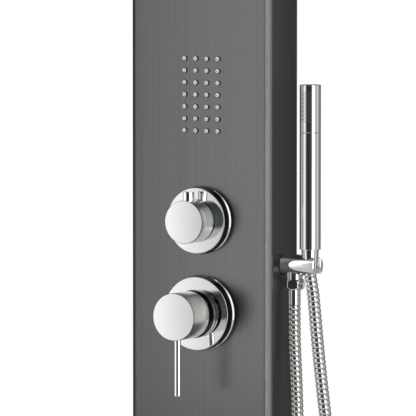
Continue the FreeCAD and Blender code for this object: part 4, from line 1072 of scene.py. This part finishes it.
class SHOWER_OT_holder(Operator):
    """Eases the edges of the holder arm"""

    bl_idname = "shower.holder"
    bl_label = "Holder"

    def execute(self, context):
        smooth_angle = 35
        mesh = NODES["holder_arm"].data.copy()
        shape = bmesh.new()
        shape.from_mesh(mesh)
        bmesh.ops.remove_doubles(shape, verts=shape.verts, dist=0.01 * MM)
        bmesh.ops.dissolve_limit(shape, angle_limit=math.radians(0.5), verts=shape.verts, edges=shape.edges)
        arm = finished("holder_arm_eased", written(shape, mesh), POLISHED, smooth_angle)
        bevel = arm.modifiers.new("Eased edges", "BEVEL")
        bevel.width = 0.7 * MM
        bevel.segments = 3
        bevel.limit_method = "ANGLE"
        bevel.angle_limit = math.radians(38)
        bake(arm).set_sharp_from_angle(angle=math.radians(smooth_angle))
        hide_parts("holder_arm")
        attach(arm, "panel")
        return {"FINISHED"}


# Studio


def put(name, data, target, azimuth, elevation, distance):
    """A camera or lamp that looks at a target, from radians right of the panel's front and up, metres."""
    thing = placed(name, data)
    flat = math.cos(elevation)
    away = Vector((math.sin(azimuth) * flat, -math.cos(azimuth) * flat, math.sin(elevation)))
    thing.location = target + away * distance
    thing.rotation_euler = (-away).to_track_quat("-Z", "Y").to_euler()
    return thing


def softbox(target, name, azimuth, elevation, distance, size, power):
    """A rectangular soft lamp, from degrees right of the panel's front and up."""
    lamp = bpy.data.lights.new(name, "AREA")
    lamp.shape = "RECTANGLE"
    lamp.size, lamp.size_y = size
    lamp.energy = power
    return put(name, lamp, target, math.radians(azimuth), math.radians(elevation), distance)


def tie_lamp(lamp, role, things):
    """Ties a lamp to the only things that it lights, or that shade it."""
    chosen = bpy.data.collections.new(f"{lamp.name}_{role}")
    for thing in things:
        chosen.objects.link(thing)
    setattr(lamp.light_linking, role, chosen)


class SHOWER_OT_stage(Operator):
    """Sets up the floor, the studio's light and the camera"""

    bl_idname = "shower.stage"
    bl_label = "Studio"

    def execute(self, context):
        studio = setting("studio")
        scene = context.scene
        scene.view_settings.view_transform = "Standard"
        target = Vector(studio.target)
        lens = bpy.data.cameras.new("camera")
        lens.lens = studio.lens
        lens.sensor_width = 36
        lens.clip_end = 100
        scene.camera = put("camera", lens, target, studio.azimuth, studio.elevation, studio.distance)
        floor = self.lay_floor(studio.floor_drop)
        self.light_world(scene)
        self.hang_lamps(scene, target, floor)
        floor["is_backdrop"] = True
        return {"FINISHED"}

    def lay_floor(self, drop):
        """A round matte floor, paler for the eye alone, so that no more light falls on the object."""
        low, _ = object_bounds()
        shape = bmesh.new()
        bmesh.ops.create_circle(shape, cap_ends=True, segments=96, radius=2.2)
        mesh = written(shape, bpy.data.meshes.new("floor"))
        mesh.transform(Matrix.Translation((0, 0, low.z - drop)))
        finish = "Matte studio floor"
        paint = grained(finish, setting("finishes").floor, 0.01, 30.0, (0.75, 0.85), 0.01)
        tree, shader = opened(paint)
        seen = add_node(tree, "ShaderNodeLightPath").outputs["Is Camera Ray"]
        glow = add_node(tree, MATH, {0: seen, 1: 0.4}, operation="MULTIPLY").outputs[0]
        feed(tree, shader, {"Emission Color": (1, 1, 1, 1), "Emission Strength": glow})
        return finished("floor", mesh, finish, 30)

    def light_world(self, scene):
        """A white room for the eye; for the object, upright bands of white cloth and dark card around it."""
        world = bpy.data.worlds.new("studio")
        scene.world = world
        world.use_nodes = True
        tree = world.node_tree
        tree.nodes.clear()
        way = add_node(tree, "ShaderNodeTexCoord").outputs["Generated"]
        parts = add_node(tree, SPLIT, {"Vector": way}).outputs
        forward = add_node(tree, MATH, {0: parts["Y"], 1: -1}, operation="MULTIPLY").outputs[0]
        angle = add_node(tree, MATH, {0: parts["X"], 1: forward}, operation="ARCTAN2").outputs[0]
        round_room = {"Value": angle, "From Min": -math.pi, "From Max": math.pi}
        turn = add_node(tree, RANGE, round_room).outputs["Result"]
        stops = []
        for degrees, grey, times in STUDIO_BANDS:
            stops.append(((degrees + 180) / 360, [c * times for c in linear(grey)[:3]]))
        bands = add_node(tree, RAMP, {"Fac": turn}, stops).outputs["Color"]
        # The studio's ceiling is open and dark.
        ceiling = {"Value": parts["Z"], "From Min": 0.6, "From Max": 0.9, "To Min": 1.0, "To Max": 0.12}
        strength = add_node(tree, RANGE, ceiling).outputs["Result"]
        light = add_node(tree, "ShaderNodeBackground", {"Color": bands, "Strength": strength})
        white = add_node(tree, "ShaderNodeBackground", {"Color": (1, 1, 1, 1), "Strength": 1.0})
        seen = add_node(tree, "ShaderNodeLightPath").outputs["Is Camera Ray"]
        rooms = {0: seen, 1: light.outputs["Background"], 2: white.outputs["Background"]}
        mix = add_node(tree, "ShaderNodeMixShader", rooms)
        add_node(tree, "ShaderNodeOutputWorld", {"Surface": mix.outputs["Shader"]})

    def hang_lamps(self, scene, target, floor):
        """Lamps for the whole object, which no plating mirrors, and lamps for single pieces."""
        for lamp in ROOM_LAMPS:
            softbox(target, *lamp).visible_glossy = False
        low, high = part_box("mixer_lever")
        aims = {"knobs": Vector(KNOBS_MIDDLE), "rods": (low + high) / 2}
        for group, lamps in PIECE_LAMPS.items():
            pieces = [NODES.get(name) or scene.objects[name] for name in LIT_PIECES[group]]
            for lamp in lamps:
                hung = softbox(aims.get(group, target), *lamp)
                hung.visible_camera = False
                tie_lamp(hung, "receiver_collection", pieces)
                if hung.name in THROUGH_LAMPS:
                    tie_lamp(hung, "blocker_collection", [floor])
        # Without this the panel still hides the lamp behind it from the knobs.
        bpy.data.lights["knob_softbox"].cycles.use_multiple_importance_sampling = False


class SHOWER_PT_panel(Panel):
    """Lists the pieces of the shower panel"""

    bl_idname = "SHOWER_PT_panel"
    bl_label = "Shower panel"
    bl_space_type = "VIEW_3D"
    bl_region_type = "UI"
    bl_category = "Shower panel"

    def draw(self, context):
        for operator in OPERATORS:
            self.layout.operator(operator.bl_idname)


GROUPS = {
    "hose_sizes": HoseSizes,
    "jet_sizes": JetSizes,
    "spray_sizes": SpraySizes,
    "finishes": Finishes,
    "studio": StudioSetup,
}
OPERATORS = [
    SHOWER_OT_finishes,
    SHOWER_OT_hose,
    SHOWER_OT_jets,
    SHOWER_OT_valves,
    SHOWER_OT_holder,
    SHOWER_OT_handset,
    SHOWER_OT_stage,
]


def register():
    for group, kind in GROUPS.items():
        bpy.utils.register_class(kind)
        setattr(bpy.types.Scene, group, PointerProperty(type=kind))
    for kind in [*OPERATORS, SHOWER_PT_panel]:
        bpy.utils.register_class(kind)


def unregister():
    for kind in reversed([*OPERATORS, SHOWER_PT_panel]):
        bpy.utils.unregister_class(kind)
    for group, kind in GROUPS.items():
        delattr(bpy.types.Scene, group)
        bpy.utils.unregister_class(kind)


def main():
    register()
    for operator in OPERATORS:
        name = operator.bl_idname.split(".")[1]
        getattr(bpy.ops.shower, name)()


if __name__ == "__main__":
    main()
